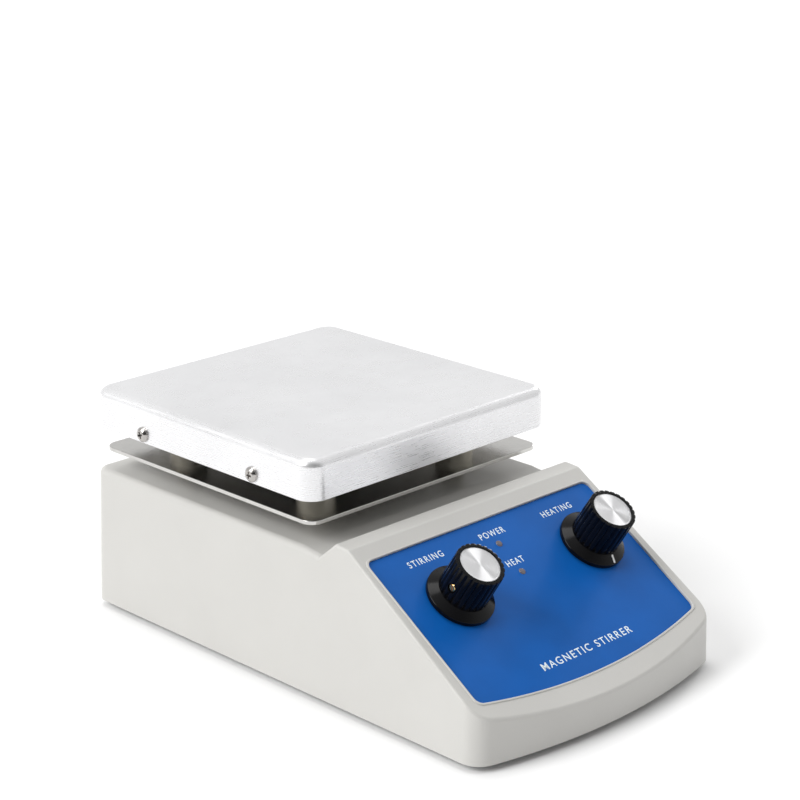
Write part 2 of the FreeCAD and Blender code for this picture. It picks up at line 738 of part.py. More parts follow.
def make_motor():
    skin, lid = 1.5, "bearing_radius"
    inside = f"motor_radius - {skin}"
    profile = [(lid, "motor_foot"), ("motor_radius", "motor_foot"), ("motor_radius", "motor_head"),
               (lid, "motor_head"), (lid, f"motor_head - {skin}"), (inside, f"motor_head - {skin}"),
               (inside, f"motor_foot + {skin}"), (lid, f"motor_foot + {skin}")]
    can = cut("motor_can", turned("motor_can_form", profile, PLATE),
              [rod("motor_can_hole", "thread_radius", 4, place)
               for place in up_by(MOTOR_SCREWS, "motor_head - 2")])
    field = turned("motor_field_magnets", [(14.5, 14), (inside, 14), (inside, 32), (14.5, 32)], PLATE)

    def bearing(label, place):
        bore = "spindle_radius + running_gap"
        return turned(label, [(bore, 0), ("bearing_radius", 0), ("bearing_radius", "bearing_height"),
                              (bore, "bearing_height")], place)

    bearings = group("motor_bearings", bearing, [PLATE * at(0, 0, "motor_foot"),
                                                 PLATE * at(0, 0, "motor_head - bearing_height")])
    holes = [(3.5, 0, 0)] + [("screw_radius", f"{side} * motor_screw_across", 0) for side in (-1, 1)]
    holes += [("screw_radius", across, along) for across, along in POST_SPOTS]
    bracket = slab("motor_bracket", 84, 30, "bracket_sheet", PLATE * at(0, 0, "motor_head"), 3, holes)

    def bracket_screw(label, place):
        return pan_screw(label, "screw_head_radius", 2, "thread_radius", 11, place)

    def motor_screw(label, place):
        return pan_screw(label, 2.5, 1.8, "thread_radius", 3.3, place)

    below = Placement(Vector(), POINTS_DOWN)
    return [can, field, bearings, bracket,
            group("bracket_screws", bracket_screw, [place * below for place in up_by(POSTS, "motor_head")]),
            group("motor_screws", motor_screw, up_by(MOTOR_SCREWS, BRACKET_TOP))]


def make_rotor():
    bore, face = "spindle_radius", "carrier_face"
    rim = f"{face} - 3.5"
    shaft = rod("motor_shaft", bore, 40, PLATE * at(0, 0, 7))
    armature = turned("motor_armature", [(bore, 15), (13.8, 15), (13.8, 31), (bore, 31)], PLATE)
    disc = turned("magnet_carrier_form", [(bore, 41), (6, 41), (6, rim), ("carrier_radius", rim),
                                          ("carrier_radius", face), (bore, face)], PLATE)
    seats = [PLATE * at(f"{side} * magnet_throw", 0, f"{face} - 2") for side in (-1, 1)]
    carrier = cut("magnet_carrier", disc, [rod("magnet_seat", "magnet_radius", 4, seat) for seat in seats])

    def magnet(label, place):
        return rod(label, "magnet_radius", "magnet_height", place)

    return [shaft, armature, carrier, group("drive_magnets", magnet, seats)]


# ---------------------------------------------------------------- circuit board


def make_board():
    top = "board_under + board_thick"
    middle = "(board_front + board_rear) / 2"
    holes = [("screw_radius", across, f"{along} - ({middle})") for across, along in BOARD_SPOTS]
    board = slab("circuit_board", "board_width", "board_rear - board_front", "board_thick",
                 at(0, middle, "board_under"), 2, holes)

    def standoff(label, place):
        floor = "case_rim + base_thick"
        return turned(label, [("thread_radius", floor), (3, floor), (3, "board_under"),
                              ("thread_radius", "board_under")], place)

    def screw(label, place):
        return pan_screw(label, "screw_head_radius", 1.8, "thread_radius", 6, place)

    core_place = at(-15, -24, top)
    core = cut("transformer_core", block("core_stack", 32, 12, 27, core_place),
               [block("core_window", 5.4, 14, 17, core_place * at(side * 8.2, 0, 5)) for side in (-1, 1)])
    winding = cut("transformer_winding", block("winding_block", 21, 20, 16.6, core_place * at(0, 0, 5.2)),
                  [block("winding_hole", 11.2, 12.2, 20, core_place * at(0, 0, 4))])
    sink = sheet_bend("heat_sink", [(-10, 0), (10, 0), (10, 22), (8.5, 22), (8.5, 1.5), (-8.5, 1.5),
                                    (-8.5, 22), (-10, 22)], 16, at(20, -32, top))
    triac = block("triac", 4.4, 10, 15, at(20 + 8.5 - 2.2, -32, f"{top} + 4"))

    def capacitor(label, place):
        return rod(label, 5, 16, place)

    capacitors = group("capacitors", capacitor, [at(across, -58, top) for across in (-8, 6)])
    return [board, core, winding, sink, triac, capacitors,
            group("board_standoffs", standoff, BOARD_POINTS),
            group("board_screws", screw, up_by(BOARD_POINTS, top))]


# ---------------------------------------------------------------- rear wall fittings


def make_inlet():
    depth = 18
    plate = slab("inlet_flange_form", 50, 22.5, "inlet_flange", rear_fitting("inlet_across"), 4,
                 [("screw_radius", f"{side} * inlet_screw_pitch / 2", 0) for side in (-1, 1)])
    box = slab("inlet_box", "inlet_width", "inlet_height", depth, rear_fitting("inlet_across", -depth), 2)
    socket = slab("inlet_socket", "socket_width", "socket_height", "socket_depth + 1",
                  rear_fitting("inlet_across", "inlet_flange - socket_depth"), 3)

    def pin(label, place):
        return block(label, 2, 4, 25.5, place)

    rows = [(-7, 0), (7, 0), (0, -4)]
    places = [rear_fitting("inlet_across", -25) * at(across, along) for across, along in rows]
    pins = group("inlet_pins", pin, places)
    body = cut("inlet_body", join("inlet_solid", [plate, box]), [socket, pins])

    def screw(label, place):
        return pan_screw(label, "screw_head_radius", 2, "screw_radius", 8.5, place)

    screws = [rear_fitting("inlet_across", "inlet_flange") * at(f"{side} * inlet_screw_pitch / 2")
              for side in (-1, 1)]
    return [body, pins, group("inlet_screws", screw, screws)]


def make_switch():
    bezel = slab("switch_bezel", 15, 21, 2, rear_fitting("switch_across"), 1.5)
    box = slab("switch_box", "switch_width", "switch_height", 15, rear_fitting("switch_across", -15))
    well = block("switch_well", 9.8, 16, 9, rear_fitting("switch_across", -6.5))
    axle = rear_fitting("switch_across", "switch_pivot") * at(-10, 0, 0, POINTS_RIGHT)
    frame = cut("switch_frame", join("switch_solid", [bezel, box]),
                [well, rod("switch_axle_hole", 1.25, 20, axle)])

    lean = Rotation(Vector(1, 0, 0), -measure("switch_tilt"))
    pivot = rear_fitting("switch_across", "switch_pivot") * Placement(Vector(), lean)
    body = new("PartDesign::Body", "rocker_form", pivot)
    sketch = new_sketch(body, "YZ_Plane")
    draw_outline(sketch, [(-5, -3), (5, -3), (6.6, 4), (0, 2.6), (-6.6, 4)])
    pad(body, sketch, 9.5, symmetric=True)
    pin = rod("rocker_axle", 1.2, 12.4, pivot * at(-6.2, 0, 0, POINTS_RIGHT))
    return [frame, join("switch_rocker", [body, pin])]


def make_fuse():
    place = rear_fitting("fuse_across")
    outer = "fuse_body_radius"
    holder = turned("fuse_holder", [(0, -26), (outer, -26), (outer, 0), (7.5, 0), (7.5, 2),
                                    ("fuse_bore", 2), ("fuse_bore", -22.5), (0, -22.5)], place)
    nut = hexagon("fuse_holder_nut", 16, 3, outer, place * at(0, 0, "-wall - 3"))
    head = "fuse_cap_end - rear_wall"
    stem = "fuse_bore - running_gap"
    knob = turned("fuse_cap_form", [(0, -2.3), (stem, -2.3), (stem, 2.1), (6.3, 2.1), (6.3, f"{head} - 0.6"),
                                    (5.7, head), (0, head)], place)
    slot = block("fuse_cap_slot", 1.4, 9, 2, place * at(0, 0, f"{head} - 1.4"))
    cap = cut("fuse_cap", knob, [slot])

    def end_cap(label, spot):
        return rod(label, 2.6, 5, spot)

    glass = turned("fuse_glass", [(1.9, -17.4), (2.5, -17.4), (2.5, -7.4), (1.9, -7.4)], place)
    ends = group("fuse_end_caps", end_cap, [place * at(0, 0, -22.4), place * at(0, 0, -7.4)])
    return [holder, nut, cap, glass, ends]


# ---------------------------------------------------------------- assembly and export


def build_parts():
    parts = [make_case(), *make_base(), make_panel()]
    parts += [make_lamp("power_lamp", "power_lamp_down"), make_lamp("heat_lamp", "heat_lamp_down")]
    parts += make_potentiometers()
    parts += make_knob("stirring", "stirring_across", "stirring_down", -25)
    parts += make_knob("heating", "heating_across", "heating_down", 180)
    parts += [*make_plate(), *make_motor(), *make_rotor(), *make_board()]
    parts += [*make_inlet(), *make_switch(), *make_fuse()]
    return parts


def check(parts):
    """Stop at any feature that failed or any sub-part without a sound shape."""
    doc.recompute()
    failed = [thing.Label for thing in doc.Objects if {"Invalid", "Error"} & set(thing.State)]
    unsound = [part.Label for part in parts if part.Shape.isNull() or not part.Shape.isValid()]
    if failed or unsound:
        raise RuntimeError(f"failed features: {failed}; unsound sub-parts: {unsound}")


PARTS = build_parts()
check(PARTS)
os.makedirs("parts", exist_ok=True)
for part in PARTS:
    part.Shape.exportStep(f"parts/{part.Label}.step")
print(len(PARTS), "sub-parts written")
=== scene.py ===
"""Magnetic stirrer with a heated plate: the visible pieces and their finishes, built round the CAD frame."""
import json
import math

import bmesh
import bpy
from bpy.props import FloatProperty, FloatVectorProperty, IntProperty, PointerProperty
from mathutils import Matrix, Vector


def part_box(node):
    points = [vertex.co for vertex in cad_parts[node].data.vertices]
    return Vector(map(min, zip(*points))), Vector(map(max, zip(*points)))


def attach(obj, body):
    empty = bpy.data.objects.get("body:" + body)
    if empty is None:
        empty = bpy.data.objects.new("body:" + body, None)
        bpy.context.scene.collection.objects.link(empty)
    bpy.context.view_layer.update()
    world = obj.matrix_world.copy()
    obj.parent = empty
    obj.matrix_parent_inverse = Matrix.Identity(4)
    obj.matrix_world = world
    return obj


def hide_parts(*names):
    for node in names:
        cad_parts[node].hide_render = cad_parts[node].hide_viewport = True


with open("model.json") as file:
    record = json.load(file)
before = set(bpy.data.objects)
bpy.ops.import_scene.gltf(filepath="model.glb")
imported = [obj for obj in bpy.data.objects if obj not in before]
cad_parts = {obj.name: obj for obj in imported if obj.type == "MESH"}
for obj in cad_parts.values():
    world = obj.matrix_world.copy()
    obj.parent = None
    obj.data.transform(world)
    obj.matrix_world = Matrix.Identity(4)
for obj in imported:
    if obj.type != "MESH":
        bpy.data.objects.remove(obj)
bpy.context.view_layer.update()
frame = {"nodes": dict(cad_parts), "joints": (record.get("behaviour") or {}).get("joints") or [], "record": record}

bl_info = {
    "name": "Magnetic stirrer",
    "version": (1, 0, 0),
    "blender": (4, 5, 0),
    "location": "View3D > Sidebar > Stirrer",
    "description": "Builds a laboratory magnetic stirrer with a heated plate",
    "category": "Add Mesh",
}

MM = 0.001
NEAR = 1e-6
JOINTS = {joint["name"]: joint for joint in frame["joints"]}
SLOPE_NORMAL = Vector(JOINTS["stirring_turn"]["axis"]).normalized()
SLOPE_ANGLE = math.atan2(-SLOPE_NORMAL.y, SLOPE_NORMAL.z)
CASE_LOW, CASE_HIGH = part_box("case_shell")
PLATE_LOW, PLATE_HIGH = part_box("hot_plate")
SHIELD_LOW, SHIELD_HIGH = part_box("heat_shield")
PLATE_CENTRE = (PLATE_LOW + PLATE_HIGH) / 2


def length(label, description, value):
    """A length property whose default is given in millimetres."""
    return FloatProperty(name=label, description=description, default=value * MM, unit="LENGTH", precision=5)


def colour(label, description, value):
    """A colour property with its default in linear red, green and blue."""
    return FloatVectorProperty(name=label, description=description, default=value, subtype="COLOR",
                               size=3, min=0, max=1)


# ---------------------------------------------------------------- sizes and colours


class CaseSizes(bpy.types.PropertyGroup):
    """The moulded case and the parts of its profile."""
    half_width: length("Half width", "Half width at the rim", CASE_HIGH.x / MM)
    deck_half_width: length("Deck half width", "Half width at the height of the deck", 58.9)
    wall: length("Wall", "Wall thickness", 3.0)
    bow_depth: length("Bow", "How far the front wall bows out", 8.8)
    deck_top: length("Deck height", "Height of the deck", 55.1)
    deck_front: length("Deck front", "Where the deck ends, along Y", -16.9)
    groove_line: length("Groove", "Bottom line of the groove, along Y", -25.8)
    groove_top: length("Groove height", "Height of the groove's bottom", 54.0)
    ridge_back: length("Ridge back", "Rear edge of the ridge, along Y", -33.2)
    ridge_top: length("Ridge height", "Height of the ridge's rear edge", 60.45)
    slope_start: length("Slope start", "Top edge of the control slope, along Y", -39.5)
    slope_top: length("Slope height", "Height of the slope's top edge", 60.0)
    front_corner: length("Front corner", "Radius of the front corners", 8.0)
    rear_corner: length("Rear corner", "Radius of the rear corners", 5.0)
    rim_round: length("Rim round", "Radius of the deck's outer edges", 2.4)
    lip_round: length("Lip round", "Radius of the edge round the panel's seat", 0.3)


class PanelSizes(bpy.types.PropertyGroup):
    """The printed control panel on the slope."""
    half_width: length("Half width", "Half the panel's width", 55.7)
    start: length("Start", "Distance from the top of the slope to the panel", 6.6)
    end: length("End", "Distance down the slope to the lower corners", 68.6)
    bow: length("Bow", "How far the lower edge bows down", 6.6)
    corner: length("Corner", "Corner radius", 3.0)
    thickness: length("Thickness", "Thickness of the panel", 0.7)
    recess: length("Recess", "Depth of the seat in the case", 1.2)
    gap: length("Gap", "Gap between the panel and its seat", 0.06)
    bead_width: length("Bead width", "Width of the raised bead round the seat", 0.8)
    bead_height: length("Bead height", "Height of the raised bead round the seat", 0.32)
    lamp_radius: length("Lamp radius", "Radius of each lamp", 1.3)
    power_lamp_down: length("Power lamp", "Distance of the power lamp down the slope", 17.6)
    heat_lamp_down: length("Heat lamp", "Distance of the heat lamp down the slope", 30.7)
    letter_height: length("Letter height", "Height of the small capitals", 2.55)
    title_height: length("Title height", "Height of the capitals of the lowest line", 2.95)


class KnobSizes(bpy.types.PropertyGroup):
    """The two control knobs."""
    lift: length("Lift", "Gap between the panel and the knob", 0.3)
    skirt_radius: length("Skirt radius", "Radius of the skirt", 12.45)
    skirt_rim: length("Skirt rim", "Height of the skirt's upright rim", 1.6)
    skirt_height: length("Skirt height", "Height where the grip starts", 3.6)
    foot_radius: length("Grip foot", "Radius of the grip at its foot", 9.05)
    top_radius: length("Grip top", "Radius of the grip at its top", 8.9)
    height: length("Height", "Height of the knob", 17.8)
    flute_depth: length("Flute depth", "Depth of the flutes", 0.45)
    cap_radius: length("Cap radius", "Radius of the metal cap", 7.5)
    cap_sink: length("Cap sink", "Depth of the cap below the grip's top", 0.3)
    cap_thickness: length("Cap thickness", "Thickness of the metal cap", 0.8)
    flutes: IntProperty(name="Flutes", description="Number of flutes", default=24, min=6)
    screw_height: length("Screw height", "Height of the set screw's axis", 8.7)
    screw_radius: length("Screw radius", "Radius of the set screw", 1.5)
    screw_sink: length("Screw sink", "Depth of the set screw below the grip's foot radius", 0.5)
    swing: FloatProperty(name="Pointer swing", description="Turn of the grip and set screw past the pointer",
                         default=math.radians(25), subtype="ANGLE")


class PlateSizes(bpy.types.PropertyGroup):
    """The heated plate, its shield and what holds them."""
    corner: length("Corner", "Corner radius of the plate", 7.0)
    edge: length("Edge", "Radius of the plate's top edge", 3.4)
    skirt: length("Skirt", "Wall thickness of the plate's skirt", 3.0)
    shield_corner: length("Shield corner", "Corner radius of the shield", 5.0)
    standoff_radius: length("Stand-off", "Radius of the stand-offs", 7.0)
    spacer_radius: length("Spacer", "Radius of the spacers under the shield", 4.0)
    screw_head: length("Screw head", "Radius of the screw heads", 2.8)


class RearSizes(bpy.types.PropertyGroup):
    """The fittings of the rear wall and of the underside."""
    flange_width: length("Flange width", "Width of the inlet's flange", 50.0)
    flange_height: length("Flange height", "Height of the inlet's flange", 22.5)
    flange: length("Flange", "Thickness of the inlet's flange", 2.5)
    inlet_width: length("Inlet width", "Width of the inlet's body", 28.0)
    inlet_height: length("Inlet height", "Height of the inlet's body", 20.5)
    socket_width: length("Socket width", "Width of the inlet's socket", 24.2)
    socket_height: length("Socket height", "Height of the inlet's socket", 16.4)
    socket_depth: length("Socket depth", "Depth of the inlet's socket", 15.5)
    screw_pitch: length("Screw pitch", "Distance between the inlet's screws", 40.0)
    switch_width: length("Switch width", "Width of the switch's body", 12.8)
    switch_height: length("Switch height", "Height of the switch's body", 19.0)
    pivot: length("Pivot", "Height of the rocker's axle above the wall", -1.5)
    tilt: FloatProperty(name="Tilt", description="Lean of the rocker at rest", default=math.radians(11),
                        subtype="ANGLE")
    fuse_radius: length("Fuse radius", "Radius of the fuse holder's body", 6.0)
    fuse_bore: length("Fuse bore", "Radius of the fuse holder's bore", 3.9)
    fuse_knob: length("Fuse cap", "Radius of the fuse cap", 6.3)
    foot_radius: length("Foot", "Radius of the feet", 7.0)
    foot_pocket: length("Foot pocket", "Depth of the pocket in each foot", 1.8)


class Finishes(bpy.types.PropertyGroup):
    """Colours of the visible pieces."""
    case: colour("Case", "Moulded case", (0.565, 0.557, 0.533))
    panel: colour("Panel", "Printed panel", (0.003, 0.106, 0.425))
    lettering: colour("Lettering", "Printed words", (0.80, 0.89, 0.94))
    knob: colour("Knob", "Knob plastic", (0.0025, 0.0025, 0.003))
    plate: colour("Plate", "Cast plate", (0.83, 0.83, 0.84))
    shield: colour("Shield", "Shield sheet", (0.62, 0.61, 0.59))
    brass: colour("Brass", "Set screws", (0.80, 0.56, 0.23))
    rubber: colour("Rubber", "Feet", (0.025, 0.025, 0.026))
    fitting: colour("Fittings", "Rear fittings", (0.018, 0.018, 0.02))
    floor: colour("Floor", "Table top", (0.93, 0.93, 0.93))


# ---------------------------------------------------------------- modelling helpers


def select_only(*pieces):
    """Select these pieces and nothing else, with the first one active."""
    bpy.ops.object.select_all(action="DESELECT")
    for piece in pieces:
        piece.select_set(True)
    bpy.context.view_layer.objects.active = pieces[0]


def edit(piece):
    """Enter edit mode on one piece, with everything of it selected."""
    select_only(piece)
    bpy.ops.object.mode_set(mode="EDIT")
    bpy.ops.mesh.select_mode(type="VERT")
    bpy.ops.mesh.select_all(action="SELECT")


def leave():
    """Go back to object mode."""
    bpy.ops.object.mode_set(mode="OBJECT")


def newest(name):
    """The object that the last operator added, renamed."""
    piece = bpy.context.view_layer.objects.active
    piece.name = name
    piece.data.name = name
    return piece


def pick(piece, kind, test):
    """In edit mode, select the vertices, edges or faces that pass a test, and nothing else."""
    bpy.ops.mesh.select_all(action="DESELECT")
    bpy.ops.mesh.select_mode(type=kind)
    mesh = bmesh.from_edit_mesh(piece.data)
    elements = {"VERT": mesh.verts, "EDGE": mesh.edges, "FACE": mesh.faces}[kind]
    for element in elements:
        if test(element):
            element.select_set(True)
    mesh.select_flush_mode()
    bmesh.update_edit_mesh(piece.data)


def middle(element):
    """The middle point of an edge."""
    return (element.verts[0].co + element.verts[1].co) / 2


def rounded_path(corners, closed=True, steps=6):
    """Points of an outline given by (x, y, radius) corners, with each radius as an arc."""
    path = []
    for index, (x, y, radius) in enumerate(corners):
        here = Vector((x, y))
        at_end = not closed and index in (0, len(corners) - 1)
        if radius == 0 or at_end:
            path.append(here)
            continue
        back = (Vector(corners[index - 1][:2]) - here).normalized()
        ahead = (Vector(corners[(index + 1) % len(corners)][:2]) - here).normalized()
        half = back.angle(ahead) / 2
        centre = here + (back + ahead).normalized() * radius / math.sin(half)
        reach = radius / math.tan(half)
        start, end = here + back * reach - centre, here + ahead * reach - centre
        first = math.atan2(start.y, start.x)
        sweep = (math.atan2(end.y, end.x) - first + math.pi) % math.tau - math.pi
        for step in range(steps + 1):
            angle = first + sweep * step / steps
            path.append(centre + Vector((math.cos(angle), math.sin(angle))) * radius)
    return path


def flat(path, height=0.0):
    """An outline laid in the XY plane."""
    return [Vector((point.x, point.y, height)) for point in path]


def side_on(path, across=0.0):
    """An outline of (Y, Z) points stood in the YZ plane."""
    return [Vector((across, point.x, point.y)) for point in path]


def trace(name, points, filled=True):
    """A wire through the points, grown point by point from one vertex, and filled if it is an outline."""
    bpy.ops.object.select_all(action="DESELECT")
    bpy.ops.mesh.primitive_plane_add(size=MM)
    piece = newest(name)
    edit(piece)
    bpy.ops.mesh.merge(type="CENTER")
    bpy.ops.transform.translate(value=points[0])
    for before, after in zip(points, points[1:]):
        bpy.ops.mesh.extrude_region_move(TRANSFORM_OT_translate={"value": after - before})
    if filled:
        bpy.ops.mesh.select_all(action="SELECT")
        bpy.ops.mesh.edge_face_add()
    leave()
    return piece


def repair(piece):
    """Merge doubles and turn every face outwards."""
    edit(piece)
    bpy.ops.mesh.remove_doubles(threshold=NEAR)
    bpy.ops.mesh.normals_make_consistent(inside=False)
    leave()


def extrude_on(move, scale=None):
    """Extrude what is selected in edit mode, and scale its far end about the origin."""
    bpy.ops.mesh.extrude_region_move(TRANSFORM_OT_translate={"value": move})
    if scale:
        bpy.ops.transform.resize(value=scale, center_override=(0, 0, 0))


def prism(name, points, move, scale=None):
    """A solid between an outline and its copy, moved and scaled."""
    piece = trace(name, points)
    edit(piece)
    extrude_on(move, scale)
    leave()
    repair(piece)
    return piece


def lathe(name, profile, steps=96):
    """A solid turned about the Z axis from (radius, height, rounding) corners."""
    path = rounded_path(profile, closed=False, steps=4)
    piece = trace(name, [Vector((point.x, 0, point.y)) for point in path], filled=False)
    edit(piece)
    bpy.ops.mesh.spin(steps=steps, angle=math.tau, center=(0, 0, 0), axis=(0, 0, 1))
    leave()
    repair(piece)
    return piece


def rod(name, radius, low, high, steps=64):
    """A plain cylinder about the Z axis, between two heights."""
    return lathe(name, [(0, low, 0), (radius, low, 0), (radius, high, 0), (0, high, 0)], steps)


def rounded_box(width, height, radius=0.0, steps=4):
    """The outline of a rectangle about the origin, with its corners rounded."""
    corners = [(x * width / 2, y * height / 2, radius) for x, y in ((-1, -1), (1, -1), (1, 1), (-1, 1))]
    return rounded_path(corners, steps=steps)


def brick(name, width, height, low, high, radius=0.0, steps=4):
    """A block with rounded corners about the Z axis, between two heights."""
    return prism(name, flat(rounded_box(width, height, radius, steps), low), (0, 0, high - low))


def rim_at(height):
    """A test for the sharp edges at one height."""
    def test(edge):
        return edge.calc_face_angle(0) > 0.5 and all(abs(v.co.z - height) < NEAR for v in edge.verts)
    return test


def apply_modifier(piece, kind, **settings):
    """Add a modifier with its settings and apply it."""
    select_only(piece)
    modifier = piece.modifiers.new(kind.title(), kind)
    for key, value in settings.items():
        setattr(modifier, key, value)
    bpy.ops.object.modifier_apply(modifier=modifier.name)


def combine(piece, other, operation):
    """Cut, join or intersect a piece with another, which is used up."""
    apply_modifier(piece, "BOOLEAN", operation=operation, object=other, solver="EXACT")
    bpy.data.objects.remove(other)
    return piece


def cut(piece, *cutters):
    """Cut each cutter out of a piece."""
    for cutter in cutters:
        combine(piece, cutter, "DIFFERENCE")
    return piece


def bevel(piece, test, width, segments=4):
    """Round the edges that pass a test."""
    edit(piece)
    pick(piece, "EDGE", test)
    bpy.ops.mesh.bevel(offset=width, offset_type="OFFSET", segments=segments, profile=0.5,
                       affect="EDGES", clamp_overlap=False)
    leave()
    return piece


def place(piece, matrix):
    """Carry a piece's mesh to its place, and leave its object at the origin."""
    select_only(piece)
    piece.matrix_world = matrix
    bpy.ops.object.transform_apply(location=True, rotation=True, scale=True)
    return piece


def copies(piece, matrices):
    """One joined piece made of a copy of the first at every place."""
    parts = []
    for matrix in matrices:
        twin = piece.copy()
        twin.data = piece.data.copy()
        bpy.context.scene.collection.objects.link(twin)
        parts.append(place(twin, matrix))
    name = piece.name
    bpy.data.objects.remove(piece)
    return merge(name, parts)


def merge(name, parts):
    """Join several pieces into one object."""
    select_only(*parts)
    if len(parts) > 1:
        bpy.ops.object.join()
    return newest(name)


def smooth(piece, angle=32):
    """Smooth shading that stays flat on flats."""
    select_only(piece)
    bpy.ops.object.shade_smooth_by_angle(angle=math.radians(angle))
    apply_modifier(piece, "WEIGHTED_NORMAL", weight=100, keep_sharp=True)


def finish_piece(piece, material, body, slot, *nodes, angle=32):
    """Smooth a piece, give it its material, tie it to its body and hide its CAD nodes; the slot is not used."""
    smooth(piece, angle)
    piece.data.materials.clear()
    piece.data.materials.append(material)
    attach(piece, body)
    if nodes:
        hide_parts(*nodes)
    return piece


def shift(x=0.0, y=0.0, z=0.0):
    """A move, as a matrix."""
    return Matrix.Translation((x, y, z))


def slope_matrix():
    """The control slope's frame: X across, Y up the slope, Z out of it."""
    case = bpy.context.scene.stirrer_case
    start = Matrix.Translation((0, case.slope_start, case.slope_top))
    return start @ Matrix.Rotation(SLOPE_ANGLE, 4, "X")


def joint_matrix(name):
    """The slope's frame moved to a control's axis."""
    local = slope_matrix().inverted() @ Vector(JOINTS[name]["pos_m"])
    return slope_matrix() @ shift(local.x, local.y)


def rear_matrix(node):
    """The frame of a fitting on the rear wall: Z out of the wall, X across."""
    low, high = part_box(node)
    spot = (low + high) / 2
    return Matrix.Translation((spot.x, CASE_HIGH.y, spot.z)) @ Matrix.Rotation(-math.pi / 2, 4, "X")


# ---------------------------------------------------------------- materials


class Nodes:
    """A short way to write a material's node tree."""

    def __init__(self, name):
        self.material = bpy.data.materials.new(name)
        self.material.use_nodes = True
        self.tree = self.material.node_tree
        self.shader = self.tree.nodes["Principled BSDF"]
        self.coordinates = self.tree.nodes.new("ShaderNodeTexCoord").outputs["Object"]

    def set(self, **values):
        """Set the shader's own sockets, named with underscores for spaces."""
        for key, value in values.items():
            socket = self.shader.inputs[key.replace("_", " ")]
            socket.default_value = (*value, 1) if hasattr(value, "__len__") and len(value) == 3 else value

    def add(self, kind, inputs=None, **settings):
        node = self.tree.nodes.new(kind)
        for key, value in settings.items():
            setattr(node, key, value)
        for key, value in (inputs or {}).items():
            self.feed(value, node.inputs[key])
        return node

    def feed(self, value, socket):
        """Link an output to a socket, or set the socket to a plain value."""
        if isinstance(value, bpy.types.NodeSocket):
            self.tree.links.new(value, socket)
        else:
            socket.default_value = value

    def link(self, output, name):
        self.tree.links.new(output, self.shader.inputs[name])

    def stretched(self, scale, location=(0, 0, 0), rotation=(0, 0, 0)):
        mapping = self.add("ShaderNodeMapping", {"Vector": self.coordinates, "Scale": scale,
                                                 "Location": location, "Rotation": rotation})
        return mapping.outputs[0]

    def noise(self, scale, detail=3.0, roughness=0.5, vector=None):
        node = self.add("ShaderNodeTexNoise", {"Vector": vector or self.coordinates, "Scale": scale,
                                               "Detail": detail, "Roughness": roughness})
        return node.outputs["Fac"]

    def ranged(self, value, low, high, start=0.3, stop=0.7):
        """A 0 to 1 value spread over a range."""
        node = self.add("ShaderNodeMapRange", {"Value": value, "From Min": start, "From Max": stop,
                                               "To Min": low, "To Max": high})
        return node.outputs[0]

    def tint(self, factor, first, second):
        """A colour between two, by a factor."""
        node = self.add("ShaderNodeMix", data_type="RGBA")
        self.feed(factor, node.inputs["Factor"])
        self.feed((*first, 1), node.inputs["A"])
        self.feed((*second, 1), node.inputs["B"])
        return node.outputs["Result"]

    def bump(self, height, strength, distance, normal=None):
        inputs = {"Height": height, "Strength": strength, "Distance": distance}
        if normal:
            inputs["Normal"] = normal
        return self.add("ShaderNodeBump", inputs).outputs[0]

    def math(self, operation, first, second=0.5):
        return self.add("ShaderNodeMath", {0: first, 1: second}, operation=operation).outputs[0]


def shade(base, factor):
    """A colour made lighter or darker by a factor."""
    return tuple(min(1.0, channel * factor) for channel in base)


def moulded(name, base, rough=0.37, grain=1.0, speck=0.015):
    """Moulded plastic: a fine spark-eroded grain, and faint clouding of its colour and gloss."""
    nodes = Nodes(name)
    nodes.set(IOR=1.49)
    clouds = nodes.noise(38.0, 4.0)
    nodes.link(nodes.tint(nodes.ranged(clouds, 0, 1), shade(base, 1 - speck), shade(base, 1 + speck)),
               "Base Color")
    grains = nodes.noise(2600.0, 3.0, 0.6)
    nodes.link(nodes.ranged(nodes.noise(90.0, 3.0), rough - 0.05, rough + 0.06), "Roughness")
    nodes.link(nodes.bump(grains, 0.22 * grain, 0.00012), "Normal")
    return nodes.material


def printed_film(name, base):
    """Screen-printed film: even ink with a very fine stipple under a satin lacquer."""
    nodes = Nodes(name)
    nodes.set(IOR=1.5, Specular_IOR_Level=0.15)
    ink = nodes.noise(60.0, 5.0)
    nodes.link(nodes.tint(nodes.ranged(ink, 0, 1), shade(base, 0.94), shade(base, 1.07)), "Base Color")
    nodes.link(nodes.ranged(nodes.noise(140.0, 3.0), 0.36, 0.46), "Roughness")
    nodes.link(nodes.bump(nodes.noise(5200.0, 2.0), 0.12, 0.00006), "Normal")
    return nodes.material


def gloss(name, base, rough=0.14):
    """Glossy thermoset plastic with faint mould ripple and handling haze."""
    nodes = Nodes(name)
    nodes.set(IOR=1.45, Specular_IOR_Level=0.2)
    nodes.link(nodes.tint(nodes.ranged(nodes.noise(120.0), 0, 1), base, shade(base, 1.8)), "Base Color")
    nodes.link(nodes.ranged(nodes.noise(420.0, 4.0), rough - 0.03, rough + 0.05), "Roughness")
    nodes.link(nodes.bump(nodes.noise(520.0, 2.0), 0.04, 0.0001), "Normal")
    return nodes.material


def satin_metal(name, base, rough=0.3, scale=1500.0, depth=0.12, stretch=(1, 1, 1), metallic=1.0):
    """Metal with a fine, even, slightly drawn surface."""
    nodes = Nodes(name)
    nodes.set(Metallic=metallic)
    fine = nodes.noise(scale, 3.0, 0.6, nodes.stretched(stretch))
    clouds = nodes.noise(26.0, 4.0)
    nodes.link(nodes.tint(nodes.ranged(clouds, 0, 1), shade(base, 0.95), shade(base, 1.03)), "Base Color")
    nodes.link(nodes.ranged(fine, rough - 0.05, rough + 0.07), "Roughness")
    nodes.link(nodes.bump(fine, depth, 0.00008), "Normal")
    return nodes.material


